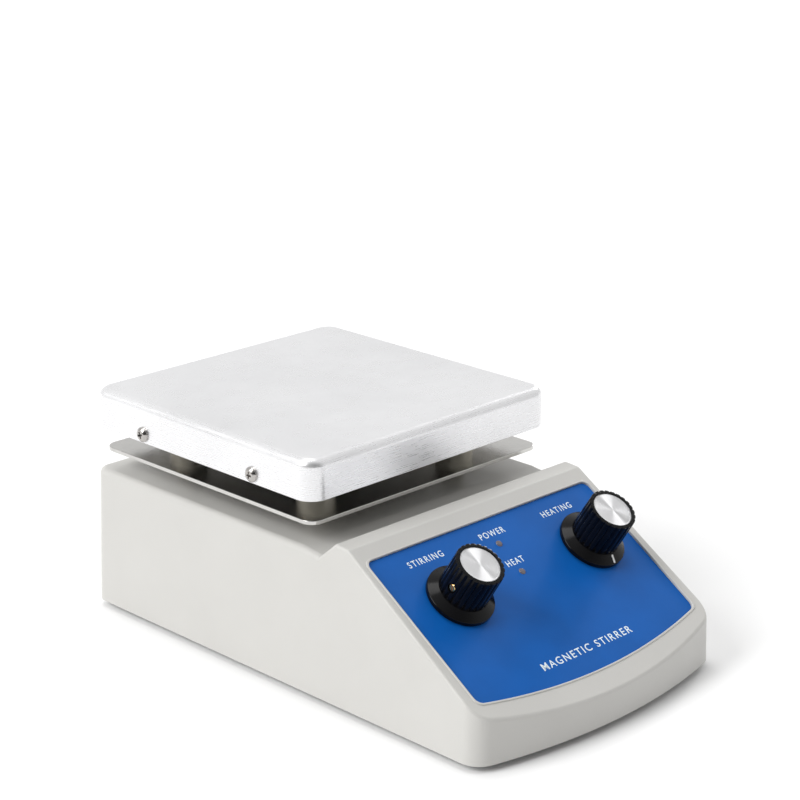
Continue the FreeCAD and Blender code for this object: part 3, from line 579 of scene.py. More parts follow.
def spun(name, base, matrix):
    """Aluminium faced on a lathe: rings about the axis and highlights drawn across them."""
    nodes = Nodes(name)
    nodes.set(Metallic=1.0, Anisotropic=0.95)
    centre, axis = matrix.translation, matrix.to_3x3().col[2]
    offset = nodes.add("ShaderNodeVectorMath", {0: nodes.coordinates, 1: centre}, operation="SUBTRACT")
    around = nodes.add("ShaderNodeVectorMath", {0: offset.outputs[0], 1: axis}, operation="CROSS_PRODUCT")
    unit = nodes.add("ShaderNodeVectorMath", {0: around.outputs[0]}, operation="NORMALIZE")
    nodes.link(unit.outputs[0], "Tangent")
    radius = nodes.add("ShaderNodeVectorMath", {0: around.outputs[0]}, operation="LENGTH").outputs["Value"]
    rings = nodes.math("SINE", nodes.math("MULTIPLY", radius, math.tau / (0.42 * MM)))
    nodes.link(nodes.tint(nodes.ranged(rings, 0, 1, -1, 1), shade(base, 0.9), base), "Base Color")
    nodes.link(nodes.ranged(rings, 0.44, 0.52, -1, 1), "Roughness")
    nodes.link(nodes.bump(rings, 0.12, 0.00002), "Normal")
    return nodes.material


def polished(name, base, rough=0.12, speck=0.5):
    """Polished metal with faint pitting and wiped haze."""
    nodes = Nodes(name)
    nodes.set(Metallic=1.0)
    haze = nodes.noise(240.0, 5.0, 0.65)
    nodes.link(nodes.tint(nodes.ranged(haze, 0, 1), shade(base, 0.9), base), "Base Color")
    nodes.link(nodes.ranged(haze, rough, rough + 0.12), "Roughness")
    nodes.link(nodes.bump(nodes.noise(1900.0, 3.0), 0.1 * speck, 0.0001), "Normal")
    return nodes.material


def tinted_lamp(name, base):
    """Clear tinted epoxy of an unlit lamp."""
    nodes = Nodes(name)
    nodes.set(IOR=1.5, Transmission_Weight=0.35, Roughness=0.12)
    nodes.link(nodes.tint(nodes.ranged(nodes.noise(700.0), 0, 1), shade(base, 0.85), base), "Base Color")
    return nodes.material


def rubbery(name, base):
    """Dull rubber with a coarse, uneven skin."""
    nodes = Nodes(name)
    nodes.set(IOR=1.5)
    nodes.link(nodes.tint(nodes.ranged(nodes.noise(300.0), 0, 1), base, shade(base, 1.6)), "Base Color")
    nodes.link(nodes.ranged(nodes.noise(900.0), 0.6, 0.8), "Roughness")
    nodes.link(nodes.bump(nodes.noise(1800.0, 4.0), 0.3, 0.0002), "Normal")
    return nodes.material


MATERIALS = {}


def material(name):
    """A material by its name, made when it is first wanted."""
    if name not in MATERIALS:
        colours = bpy.context.scene.stirrer_finishes
        makers = {
            "case_plastic": lambda: moulded(name, colours.case),
            "panel_ink": lambda: printed_film(name, colours.panel),
            "word_ink": lambda: moulded(name, colours.lettering, 0.5, 0.4, 0.05),
            "knob_plastic": lambda: gloss(name, colours.knob),
            "cast_plate": lambda: satin_metal(name, colours.plate, 0.29, 420.0, 0.04, (0.3, 0.3, 7), 0.72),
            "shield_steel": lambda: polished(name, colours.shield, 0.14, 1.0),
            "turned_steel": lambda: satin_metal(name, (0.86, 0.83, 0.74), 0.4, 900.0, 0.05, (1, 1, 8)),
            "screw_steel": lambda: polished(name, (0.50, 0.48, 0.46), 0.12, 0.3),
            "zinc_sheet": lambda: satin_metal(name, (0.58, 0.6, 0.62), 0.32, 300.0, 0.1),
            # The pan under the plate gets a dark colour as painted shade, standing for the shade in the gap under
            # the plate.
            "pan_painted_shade": lambda: satin_metal(name, (0.2, 0.19, 0.17), 0.4, 300.0, 0.1),
            "brass": lambda: polished(name, colours.brass, 0.16, 0.4),
            "rubber": lambda: rubbery(name, colours.rubber),
            "fitting_plastic": lambda: moulded(name, colours.fitting, 0.38, 1.3, 0.1),
            "lamp_epoxy": lambda: tinted_lamp(name, (0.23, 0.2, 0.22)),
            "white_paint": lambda: moulded(name, (0.85, 0.85, 0.83), 0.45, 0.5),
        }
        MATERIALS[name] = makers[name]()
    return MATERIALS[name]


# ---------------------------------------------------------------- case


def bowed_edge(half, depth, limit, reach, steps=24):
    """Corners along a bowed edge, from right to left, out to a reach on each side."""
    radius = (half ** 2 + depth ** 2) / (2 * depth)
    points = []
    for step in range(steps + 1):
        x = reach - 2 * reach * step / steps
        points.append((x, limit + radius - math.sqrt(radius ** 2 - x ** 2), 0))
    return points


def case_solid(name, inset):
    """The case's outer form, taken in by an inset: its side view crossed with its plan."""
    case = bpy.context.scene.stirrer_case
    top = case.deck_top - inset
    rear = CASE_HIGH.y - inset
    front = CASE_LOW.y - 2 * MM
    fall = inset / math.cos(SLOPE_ANGLE)
    low = case.slope_top - fall - (case.slope_start - front) * math.tan(SLOPE_ANGLE)
    if inset:
        meeting = case.slope_start - (case.slope_top - fall - top) / math.tan(SLOPE_ANGLE)
        roof = [(meeting, top, 0)]
    else:
        roof = [(case.deck_front, top, 0), (case.groove_line, case.groove_top, 0),
                (case.ridge_back, case.ridge_top, 0), (case.slope_start, case.slope_top, 0)]
    base = CASE_LOW.z - (2 * MM if inset else 0)
    profile = rounded_path([(rear, base, 0), (rear, top, 0), *roof, (front, low, 0), (front, base, 0)])
    wide = 1.2 * case.half_width
    solid = prism(name, side_on(profile, -wide), (2 * wide, 0, 0))

    half = case.half_width - inset
    corner_y = CASE_LOW.y + case.bow_depth + inset * 0.7
    corners = [(-half, corner_y, max(case.front_corner - inset, 1 * MM)),
               (-half, rear, max(case.rear_corner - inset, 1 * MM)),
               (half, rear, max(case.rear_corner - inset, 1 * MM)),
               (half, corner_y, max(case.front_corner - inset, 1 * MM))]
    arc = bowed_edge(case.half_width, case.bow_depth, CASE_LOW.y + inset, half - 8 * MM)
    outline = rounded_path(corners + arc, steps=8)
    height = case.slope_top + 6 * MM - base
    lean = (case.half_width - case.deck_half_width) / (case.deck_top - CASE_LOW.z)
    narrowing = (half - lean * height) / half
    plan = prism(name + "_plan", flat(outline, base), (0, 0, height), (narrowing, 1, 1))
    return combine(solid, plan, "INTERSECT")


def is_rim(edge):
    """An edge between a wall and an upward face of the case."""
    if len(edge.link_faces) != 2 or middle(edge).z < 10 * MM:
        return False
    low, high = sorted(face.normal.z for face in edge.link_faces)
    return abs(low) < 0.2 and high > 0.3


def is_cross_line(edge):
    """An edge of the deck, groove, ridge or slope that runs straight across the case."""
    run = edge.verts[1].co - edge.verts[0].co
    across = abs(run.x) > 0.99 * run.length
    return len(edge.link_faces) == 2 and across and -45 * MM < middle(edge).y < -10 * MM


def weigh(piece, test, weight):
    """Give a bevel weight to the edges that pass a test."""
    edit(piece)
    pick(piece, "EDGE", test)
    bpy.ops.transform.edge_bevelweight(value=weight)
    leave()


def panel_outline(grow=0.0):
    """The panel's outline in the slope's frame, straight on three sides and bowed at its lower edge."""
    panel = bpy.context.scene.stirrer_panel
    half, top, low = panel.half_width + grow, grow - panel.start, -panel.end - grow
    bow = bowed_edge(half, panel.bow, low - panel.bow, half - 4 * MM)
    corners = [(-half, low, panel.corner), (-half, top, panel.corner), (half, top, panel.corner),
               (half, low, panel.corner)]
    return rounded_path(corners + bow, steps=6)


def window(name, width, height, spot, radius=0.0):
    """A rounded rectangular cutter through the rear wall."""
    depth = 2 * bpy.context.scene.stirrer_case.wall
    return place(brick(name, width, height, -depth, depth, radius), spot)


class STIRRER_OT_case(bpy.types.Operator):
    """Build the moulded case with its panel seat, rear windows and hollow inside"""
    bl_idname = "stirrer.case"
    bl_label = "Case"

    def execute(self, context):
        case, panel = context.scene.stirrer_case, context.scene.stirrer_panel
        rear = context.scene.stirrer_rear
        housing = case_solid("case_housing", 0)
        repair(housing)
        weigh(housing, lambda edge: is_rim(edge) and middle(edge).y > case.groove_line, 1.0)
        weigh(housing, lambda edge: is_rim(edge) and middle(edge).y < case.groove_line, 0.4)
        weigh(housing, is_cross_line, 0.25)
        apply_modifier(housing, "BEVEL", limit_method="WEIGHT", width=case.rim_round, segments=6,
                       use_clamp_overlap=False)
        sunk = 1 * MM
        bead = prism("seat_bead", flat(panel_outline(panel.bead_width), -sunk),
                     (0, 0, sunk + panel.bead_height))
        bevel(bead, rim_at(panel.bead_height), case.lip_round, 4)
        combine(housing, place(bead, slope_matrix()), "UNION")
        seat = prism("panel_seat", flat(panel_outline(panel.gap), -panel.recess), (0, 0, 8 * MM))
        cut(housing, place(seat, slope_matrix()))
        bevel(housing, lambda edge: self.is_lip(edge, panel), case.lip_round, 4)
        cut(housing, case_solid("case_inside", case.wall),
            window("inlet_window", rear.inlet_width, rear.inlet_height, rear_matrix("inlet_body"), 2 * MM),
            window("switch_window", rear.switch_width, rear.switch_height, rear_matrix("switch_frame")),
            place(rod("fuse_window", rear.fuse_radius, -2 * case.wall, 2 * case.wall),
                  rear_matrix("fuse_holder")))
        finish_piece(housing, material("case_plastic"), "base", "case_grey", "case_shell")
        return {"FINISHED"}

    @staticmethod
    def is_lip(edge, panel):
        """An edge where the panel's seat meets the bead round it."""
        spot = slope_matrix().inverted() @ middle(edge)
        inside = abs(spot.x) < panel.half_width + 1 * MM and spot.y > -panel.end - panel.bow - 1 * MM
        steep = min(abs(face.normal.dot(SLOPE_NORMAL)) for face in edge.link_faces)
        level = abs(spot.z - panel.bead_height) < 0.05 * MM
        return inside and spot.y < 1 * MM - panel.start and level and steep < 0.1


# ---------------------------------------------------------------- control panel


class STIRRER_OT_panel(bpy.types.Operator):
    """Build the printed control panel"""
    bl_idname = "stirrer.panel"
    bl_label = "Control panel"

    def execute(self, context):
        panel = context.scene.stirrer_panel
        plate = prism("panel_plate", flat(panel_outline(), -panel.recess), (0, 0, panel.thickness))
        face = panel.thickness - panel.recess
        bevel(plate, lambda edge: min(v.co.z for v in edge.verts) > face - NEAR, 0.12 * MM, 2)
        place(plate, slope_matrix())
        finish_piece(plate, material("panel_ink"), "base", "panel_blue", "control_panel")
        return {"FINISHED"}


# Name, words, and then the middle across and down the slope and the width of each word, in millimetres.
LABELS = [("word_stirring", "STIRRING", -32.6, 13.1, 16.5), ("word_power", "POWER", 0.5, 12.8, 12.3),
          ("word_heat", "HEAT", 0.5, 26.1, 8.5), ("word_heating", "HEATING", 33.9, 13.2, 15.5),
          ("word_title", "MAGNETIC STIRRER", 0.5, 66.2, 45.6)]


class STIRRER_OT_lettering(bpy.types.Operator):
    """Print the plain words beside the controls"""
    bl_idname = "stirrer.lettering"
    bl_label = "Lettering"

    def execute(self, context):
        panel = context.scene.stirrer_panel
        face = panel.thickness - panel.recess
        for name, words, across, down, width in LABELS:
            tall = panel.title_height if name == "word_title" else panel.letter_height
            bpy.ops.object.select_all(action="DESELECT")
            bpy.ops.object.text_add()
            piece = newest(name)
            piece.data.body = words
            piece.data.align_x, piece.data.align_y = "CENTER", "CENTER"
            piece.data.offset = 0.009
            piece.data.space_character = 1.27
            piece.data.extrude = 0.01
            bpy.ops.object.convert(target="MESH")
            low = Vector(map(min, *(v.co for v in piece.data.vertices)))
            high = Vector(map(max, *(v.co for v in piece.data.vertices)))
            centre = (low + high) / 2
            fit = Matrix.Diagonal((width * MM / (high.x - low.x), tall / (high.y - low.y), MM, 1))
            spot = slope_matrix() @ shift(across * MM, -down * MM, face) @ fit
            place(piece, spot @ Matrix.Translation(-centre))
            repair(piece)
            finish_piece(piece, material("word_ink"), "base", "pointer_white")
        return {"FINISHED"}


class STIRRER_OT_lamps(bpy.types.Operator):
    """Build the two small lamps of the panel"""
    bl_idname = "stirrer.lamps"
    bl_label = "Lamps"

    def execute(self, context):
        panel = context.scene.stirrer_panel
        radius = panel.lamp_radius
        for name, down in (("power_lamp", panel.power_lamp_down), ("heat_lamp", panel.heat_lamp_down)):
            lens = lathe(name + "_lens", [(0, -3 * MM, 0), (radius, -3 * MM, 0), (radius, -0.45 * MM, 0),
                                          (radius * 0.8, -0.15 * MM, 0.3 * MM), (0, 0, 0)], 48)
            place(lens, slope_matrix() @ shift(0, -down, 0))
            finish_piece(lens, material("lamp_epoxy"), "base", "lamp_clear", name)
        return {"FINISHED"}


# ---------------------------------------------------------------- knobs


def fluted_grip(name, knob):
    """The grip of a knob: a fluted, slightly tapered cylinder with a seat for its cap."""
    phases = 10
    overlap, top_round, cap_gap = 0.4 * MM, 0.35 * MM, 0.12 * MM
    foot = knob.skirt_height - overlap
    count = knob.flutes * phases
    bpy.ops.object.select_all(action="DESELECT")
    bpy.ops.mesh.primitive_circle_add(vertices=count, radius=knob.foot_radius, fill_type="NGON",
                                      location=(0, 0, foot))
    grip = newest(name)
    bpy.ops.object.transform_apply(location=True, rotation=True, scale=True)
    edit(grip)
    pitch = math.tau / knob.flutes
    for phase in range(phases):
        swing = 0.5 - 0.5 * math.cos(math.tau * phase / phases)
        factor = 1 - knob.flute_depth * (1 - swing) ** 4 / knob.foot_radius
        wanted = pitch * phase / phases

        def in_phase(vertex, wanted=wanted):
            offset = math.atan2(vertex.co.y, vertex.co.x) % pitch - wanted
            return min(abs(offset), pitch - abs(offset)) < pitch / phases / 4

        pick(grip, "VERT", in_phase)
        bpy.ops.transform.resize(value=(factor, factor, 1), center_override=(0, 0, 0))
    bpy.ops.mesh.select_all(action="SELECT")
    rise = knob.height - top_round - foot
    taper = knob.top_radius / knob.foot_radius
    extrude_on((0, 0, rise), (taper, taper, 1))
    across = knob.top_radius
    for step_up, narrower in ((0.25 * MM, 0.985), (0.10 * MM, 0.965)):
        extrude_on((0, 0, step_up), (narrower, narrower, 1))
        across *= narrower
    inner = (knob.cap_radius + cap_gap) / across
    extrude_on((0, 0, 0), (inner, inner, 1))
    bpy.ops.transform.tosphere(value=1.0)
    extrude_on((0, 0, -knob.cap_sink - knob.cap_thickness))
    leave()
    repair(grip)
    return grip


def knob_skirt(name, knob):
    """The flared skirt under a knob's grip, open in the middle."""
    inner = 6.6 * MM
    return lathe(name, [(inner, 0, 0), (knob.skirt_radius, 0, 0.25 * MM),
                        (knob.skirt_radius, knob.skirt_rim, 0.35 * MM),
                        (knob.foot_radius + 0.1 * MM, knob.skirt_height, 0.3 * MM),
                        (inner, knob.skirt_height, 0), (inner, 0, 0)], 128)


class STIRRER_OT_knobs(bpy.types.Operator):
    """Build the two fluted knobs with their caps, set screws and pointer lines"""
    bl_idname = "stirrer.knobs"
    bl_label = "Knobs"

    def execute(self, context):
        knob, panel = context.scene.stirrer_knob, context.scene.stirrer_panel
        lift = panel.thickness - panel.recess + knob.lift
        for name, turn in (("stirring", math.radians(-25)), ("heating", math.pi)):
            spot = joint_matrix(name + "_turn") @ shift(z=lift) @ Matrix.Rotation(turn + knob.swing, 4, "Z")
            self.build(knob, name, spot)
        return {"FINISHED"}

    def build(self, knob, name, spot):
        """One knob: its plastic body, metal cap, set screw and pointer line."""
        body = name + "_control"
        grip = fluted_grip(name + "_grip", knob)
        aside = shift(-knob.foot_radius, 0, knob.screw_height) @ Matrix.Rotation(-math.pi / 2, 4, "Y")
        hole = lathe("set_hole", [(0, -3 * MM, 0), (1.75 * MM, -3 * MM, 0), (1.75 * MM, 0, 0),
                                  (2.1 * MM, 0.3 * MM, 0), (2.1 * MM, 2 * MM, 0), (0, 2 * MM, 0)], 32)
        cut(grip, place(hole, aside))
        whole = merge(name + "_knob_body", [grip, knob_skirt(name + "_skirt", knob)])
        place(whole, spot)
        finish_piece(whole, material("knob_plastic"), body, "knob_black", name + "_knob", angle=28)

        top = knob.height - knob.cap_sink
        under, radius, dish = top - knob.cap_thickness, knob.cap_radius, top - 0.06 * MM
        cap = lathe(name + "_cap", [(0, under, 0), (radius, under, 0), (radius, top - 0.15 * MM, 0),
                                    (radius - 0.4 * MM, top, 0), (radius - 0.55 * MM, dish, 0),
                                    (0, dish, 0)], 128)
        place(cap, spot)
        finish_piece(cap, spun(name + "_spun", (0.91, 0.91, 0.92), spot), body, "spun_aluminium",
                     name + "_knob_cap", angle=12)

        sunk, end, thread = -knob.screw_sink, -4 * MM, knob.screw_radius
        screw = lathe(name + "_grub", [(0, end, 0), (thread, end, 0), (thread, sunk - 0.3 * MM, 0.2 * MM),
                                       (thread - 0.35 * MM, sunk, 0.2 * MM), (0, sunk, 0)], 32)
        slot = brick("grub_slot", 4 * MM, 0.44 * MM, sunk - 0.7 * MM, sunk + 1.3 * MM)
        cut(screw, place(slot, Matrix.Rotation(math.radians(35), 4, "Z")))
        place(screw, spot @ aside)
        finish_piece(screw, material("brass"), body, "brass", name + "_set_screw")

        line = self.pointer(knob, name)
        place(line, spot @ Matrix.Rotation(-knob.swing, 4, "Z"))
        finish_piece(line, material("white_paint"), body, "pointer_white", name + "_pointer")

    def pointer(self, knob, name):
        """A painted line that lies on the bevel of the skirt."""
        outer = Vector((knob.skirt_radius - 0.35 * MM, knob.skirt_rim + 0.2 * MM))
        inner = Vector((knob.foot_radius + 0.5 * MM, knob.skirt_height - 0.22 * MM))
        rise = Vector((0, 0.1 * MM))
        profile = [outer - rise * 2, outer + rise, inner + rise, inner - rise * 2]
        line = prism(name + "_line", side_on(profile, -0.42 * MM), (0.84 * MM, 0, 0))
        return bevel(line, lambda edge: True, 0.08 * MM, 2)


# ---------------------------------------------------------------- plate stack


class STIRRER_OT_plate(bpy.types.Operator):
    """Build the heated plate with its hollow underside"""
    bl_idname = "stirrer.plate"
    bl_label = "Heated plate"

    def execute(self, context):
        sizes = context.scene.stirrer_plate
        side = PLATE_HIGH.x - PLATE_LOW.x
        tall = PLATE_HIGH.z - PLATE_LOW.z
        plate = brick("heated_plate", side, side, 0, tall, sizes.corner, 10)
        bevel(plate, lambda edge: min(v.co.z for v in edge.verts) > tall - NEAR, sizes.edge, 8)
        edit(plate)
        pick(plate, "FACE", lambda face: face.normal.z < -0.9)
        bpy.ops.mesh.inset(thickness=0.25 * MM)
        bpy.ops.mesh.inset(thickness=sizes.skirt - 0.5 * MM)
        bpy.ops.mesh.inset(thickness=0.25 * MM)
        bpy.ops.mesh.extrude_region_move(TRANSFORM_OT_translate={"value": (0, 0, tall - 5 * MM)})
        leave()
        place(plate, shift(PLATE_CENTRE.x, PLATE_CENTRE.y, PLATE_LOW.z))
        bevel(plate, self.is_lower_rim, 0.3 * MM, 2)
        finish_piece(plate, material("cast_plate"), "base", "plate_aluminium", "hot_plate")
        return {"FINISHED"}

    @staticmethod
    def is_lower_rim(edge):
        """An edge of the plate's underside that meets an upright face."""
        if max(v.co.z for v in edge.verts) > PLATE_LOW.z + NEAR or len(edge.link_faces) != 2:
            return False
        low, high = sorted(face.normal.z for face in edge.link_faces)
        return low < -0.9 and abs(high) < 0.1


class STIRRER_OT_shield(bpy.types.Operator):
    """Build the heat shield, the stand-offs above it and the spacers below it"""
    bl_idname = "stirrer.shield"
    bl_label = "Heat shield"

    def execute(self, context):
        sizes, case = context.scene.stirrer_plate, context.scene.stirrer_case
        side = SHIELD_HIGH.x - SHIELD_LOW.x
        sheet = brick("shield_sheet", side, side, 0, SHIELD_HIGH.z - SHIELD_LOW.z, sizes.shield_corner, 8)
        bevel(sheet, lambda edge: abs(edge.verts[0].co.z - edge.verts[1].co.z) < NEAR, 0.2 * MM, 3)
        place(sheet, shift(PLATE_CENTRE.x, PLATE_CENTRE.y, SHIELD_LOW.z))
        finish_piece(sheet, material("shield_steel"), "base", "stainless", "heat_shield")
        self.posts("standoff_posts", sizes.standoff_radius, SHIELD_HIGH.z, PLATE_LOW.z, "plate_standoffs")
        self.posts("spacer_posts", sizes.spacer_radius, case.deck_top, SHIELD_LOW.z, "shield_spacers")
        return {"FINISHED"}

    def posts(self, name, radius, low, high, node):
        """Four turned posts with chamfered ends, at the corners of a CAD node's box."""
        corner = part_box(node)[1]
        reach = corner.x - radius
        tall = high - low
        post = lathe(name, [(0, 0, 0), (radius - 0.35 * MM, 0, 0), (radius, 0.35 * MM, 0),
                            (radius, tall - 0.35 * MM, 0), (radius - 0.35 * MM, tall, 0), (0, tall, 0)], 96)
        spots = [shift(x * reach, PLATE_CENTRE.y + y * reach, low) for x in (-1, 1) for y in (-1, 1)]
        piece = copies(post, spots)
        finish_piece(piece, material("turned_steel"), "base", "stainless", node)


def cross_head_screw(name, radius, height, shank, reach):
    """A pan head with a cross recess, its seat at the origin and its head up +Z."""
    head = lathe(name, [(0, -reach, 0), (shank, -reach, 0), (shank, 0, 0), (radius, 0, 0.15 * MM),
                        (radius, height * 0.4, 0.35 * MM), (radius * 0.66, height * 0.95, 1.2 * MM),
                        (0, height, 0)], 48)
    deep = 1.1 * MM
    for turn in (0, math.pi / 2):
        arm = prism("cross_arm", flat(rounded_box(1 * MM, 0.6 * MM), height - deep),
                    (0, 0, 2 * deep), (4.6, 1.5, 1))
        cut(head, place(arm, Matrix.Rotation(turn, 4, "Z")))
    return head


class STIRRER_OT_side_screws(bpy.types.Operator):
    """Build the cross-head screws in the plate's skirt"""
    bl_idname = "stirrer.side_screws"
    bl_label = "Plate screws"

    def execute(self, context):
        sizes = context.scene.stirrer_plate
        low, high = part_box("plate_side_screws")
        spread = (high.y - low.y) / 2 - sizes.screw_head
        up = (low.z + high.z) / 2
        screw = cross_head_screw("skirt_screws", sizes.screw_head, high.x - PLATE_HIGH.x, 1.5 * MM, 2 * MM)
        spots = []
        for side in (-1, 1):
            for row in (-1, 1):
                seat = shift(side * PLATE_HIGH.x, PLATE_CENTRE.y + row * spread, up)
                lean = Matrix.Rotation(side * math.pi / 2, 4, "Y")
                spots.append(seat @ lean @ Matrix.Rotation(0.12 + 0.2 * row, 4, "Z"))
        finish_piece(copies(screw, spots), material("screw_steel"), "base", "bright_steel",
                     "plate_side_screws")
        return {"FINISHED"}


# ---------------------------------------------------------------- rear fittings


class STIRRER_OT_inlet(bpy.types.Operator):
    """Build the mains inlet and its two screws"""
    bl_idname = "stirrer.inlet"
    bl_label = "Mains inlet"

    def execute(self, context):
        rear = context.scene.stirrer_rear
        spot = rear_matrix("inlet_body")
        body = brick("inlet_shell", rear.flange_width, rear.flange_height, 0, rear.flange, 4 * MM, 8)
        box = brick("inlet_box", rear.inlet_width, rear.inlet_height, -18 * MM, 1 * MM, 2 * MM)
        combine(body, box, "UNION")
        floor = rear.flange - rear.socket_depth
        cut(body, brick("inlet_socket", rear.socket_width, rear.socket_height, floor, 9 * MM, 3 * MM, 6))
        bevel(body, rim_at(rear.flange), 0.45 * MM, 3)
        place(body, spot)
        finish_piece(body, material("fitting_plastic"), "base", "black_plastic", "inlet_body")

        screw = cross_head_screw("inlet_heads", 2.8 * MM, 2 * MM, 1.4 * MM, 8.5 * MM)
        half = rear.screw_pitch / 2
        spots = [spot @ shift(side * half, 0, rear.flange) @ Matrix.Rotation(0.4 * side, 4, "Z")
                 for side in (-1, 1)]
        finish_piece(copies(screw, spots), material("screw_steel"), "base", "bright_steel", "inlet_screws")
        return {"FINISHED"}


class STIRRER_OT_switch(bpy.types.Operator):
    """Build the power switch: its frame, and the rocker with its two marks"""
    bl_idname = "stirrer.switch"
    bl_label = "Power switch"

    def execute(self, context):
        rear = context.scene.stirrer_rear
        spot = rear_matrix("switch_frame")
        bezel = 2 * MM
        body = brick("switch_bezel", 15 * MM, 21 * MM, 0, bezel, 1.5 * MM, 6)
        combine(body, brick("switch_box", rear.switch_width, rear.switch_height, -15 * MM, 1 * MM), "UNION")
        along = Matrix.Rotation(math.pi / 2, 4, "Y")
        cut(body, brick("switch_well", 9.8 * MM, 16 * MM, -6.5 * MM, 5 * MM),
            place(rod("axle_hole", 1.25 * MM, -9 * MM, 9 * MM, 32), shift(z=rear.pivot) @ along))
        bevel(body, rim_at(bezel), 0.5 * MM, 3)
        place(body, spot)
        finish_piece(body, material("fitting_plastic"), "base", "black_plastic", "switch_frame")

        centre = spot @ shift(z=rear.pivot)
        lean = Matrix.Rotation(-rear.tilt, 4, Vector(JOINTS["power_rock"]["axis"]))
        swung = Matrix.Translation(centre.translation) @ lean @ centre.to_3x3().to_4x4()
        paddle = self.paddle(along)
        place(paddle, swung)
        finish_piece(paddle, material("fitting_plastic"), "power_rocker", "black_plastic", "switch_rocker")
        marks = self.marks()
        place(marks, swung)
        finish_piece(marks, material("white_paint"), "power_rocker", "pointer_white")
        return {"FINISHED"}

    def paddle(self, along):
        """The rocker with its dished face and its axle."""
        corners = [(-5, -3, 0.5), (5, -3, 0.5), (6.6, 4, 0.7), (0, 2.6, 14), (-6.6, 4, 0.7)]
        outline = rounded_path([(y * MM, z * MM, radius * MM) for y, z, radius in corners])
        paddle = prism("rocker_paddle", side_on(outline, -4.75 * MM), (9.5 * MM, 0, 0))

        def side_rim(edge):
            return edge.verts[0].co.x * edge.verts[1].co.x > 0 and edge.calc_face_angle(0) > 0.5

        bevel(paddle, side_rim, 0.3 * MM, 3)
        return combine(paddle, place(rod("axle", 1.2 * MM, -6.2 * MM, 6.2 * MM, 32), along), "UNION")

    def marks(self):
        """A bar and a ring, printed on the two halves of the rocker."""
        thick, reach, level = 0.03 * MM, 4.3 * MM, 3.5 * MM
        bar = brick("rocker_marks", 0.55 * MM, 2.2 * MM, -thick, thick)
        ring = lathe("ring_mark", [(0.75 * MM, -thick, 0), (1.15 * MM, -thick, 0), (1.15 * MM, thick, 0),
                                   (0.75 * MM, thick, 0), (0.75 * MM, -thick, 0)], 48)
        slant = math.atan2(1.4, 6.6)
        place(bar, shift(0, -reach, level) @ Matrix.Rotation(-slant, 4, "X"))
        place(ring, shift(0, reach, level) @ Matrix.Rotation(slant, 4, "X"))
        return merge("rocker_marks", [bar, ring])


class STIRRER_OT_fuse(bpy.types.Operator):
    """Build the fuse holder and its ribbed cap"""
    bl_idname = "stirrer.fuse"
    bl_label = "Fuse holder"

    def execute(self, context):
        rear = context.scene.stirrer_rear
        spot = rear_matrix("fuse_holder")
        outer, bore, collar = rear.fuse_radius, rear.fuse_bore, 7.5 * MM
        end, floor, lip = -26 * MM, -22.5 * MM, 2 * MM
        body = lathe("fuse_tube", [(0, end, 0), (outer, end, 0.5 * MM), (outer, 0, 0), (collar, 0, 0),
                                   (collar, lip, 0.6 * MM), (bore, lip, 0.2 * MM), (bore, floor, 0),
                                   (0, floor, 0)], 96)
        place(body, spot)
        finish_piece(body, material("fitting_plastic"), "base", "black_plastic", "fuse_holder")

        low, high = 2.1 * MM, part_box("fuse_cap")[1].y - CASE_HIGH.y
        ribs = 20
        outline = []
        for step in range(4 * ribs):
            radius = rear.fuse_knob - (0.35 * MM if step % 4 > 1 else 0)
            angle = math.tau * step / (4 * ribs)
            outline.append(Vector((math.cos(angle), math.sin(angle))) * radius)
        cap = prism("fuse_lid", flat(outline, low), (0, 0, high - low))
        bevel(cap, rim_at(high), 0.5 * MM, 3)
        combine(cap, rod("fuse_stem", bore - 0.1 * MM, -2.3 * MM, 3 * MM), "UNION")
        cut(cap, brick("fuse_slot", 1.4 * MM, 9 * MM, high - 1.4 * MM, high + 1 * MM))
        place(cap, spot)
        finish_piece(cap, material("fitting_plastic"), "fuse_cap", "black_plastic", "fuse_cap")
        return {"FINISHED"}


# ---------------------------------------------------------------- underside


class STIRRER_OT_underside(bpy.types.Operator):
    """Build the feet, their screws and the screws of the base plate"""
    bl_idname = "stirrer.underside"
    bl_label = "Underside"

    def execute(self, context):
        rear = context.scene.stirrer_rear
        low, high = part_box("rubber_feet")
        radius, pocket, tall = rear.foot_radius, rear.foot_pocket, high.z
        inner, hole = 3.2 * MM, 1.6 * MM
        foot = lathe("foot_pads", [(inner, pocket, 0), (inner, 0, 0.3 * MM),
                                   (radius - 0.4 * MM, 0, 0.6 * MM), (radius, tall * 0.5, 0.3 * MM),
                                   (radius, tall, 0), (hole, tall, 0), (hole, pocket, 0),
                                   (inner, pocket, 0)], 64)
        feet = [(x, y) for x in (low.x + radius, high.x - radius) for y in (low.y + radius, high.y - radius)]
        finish_piece(copies(foot, [shift(x, y) for x, y in feet]), material("rubber"), "base", "rubber",
                     "rubber_feet")

        down = Matrix.Rotation(math.pi, 4, "X")
        screw = cross_head_screw("foot_heads", 2.8 * MM, 1.4 * MM, 1.45 * MM, 5.5 * MM)
        spots = [shift(x, y, pocket) @ down @ Matrix.Rotation(20 * y, 4, "Z") for x, y in feet]
        finish_piece(copies(screw, spots), material("screw_steel"), "base", "bright_steel", "foot_screws")

        screw = cross_head_screw("base_heads", 2.8 * MM, 1.6 * MM, 1.4 * MM, 10 * MM)
        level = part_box("base_plate")[0].z
        bosses = [(side * across * MM, along * MM) for side in (-1, 1)
                  for across, along in ((54, 91), (53, -91))]
        spots = [shift(x, y, level) @ down @ Matrix.Rotation(30 * x, 4, "Z") for x, y in bosses]
        finish_piece(copies(screw, spots), material("screw_steel"), "base", "bright_steel", "base_screws")
        return {"FINISHED"}


# ---------------------------------------------------------------- inner pieces and the stage


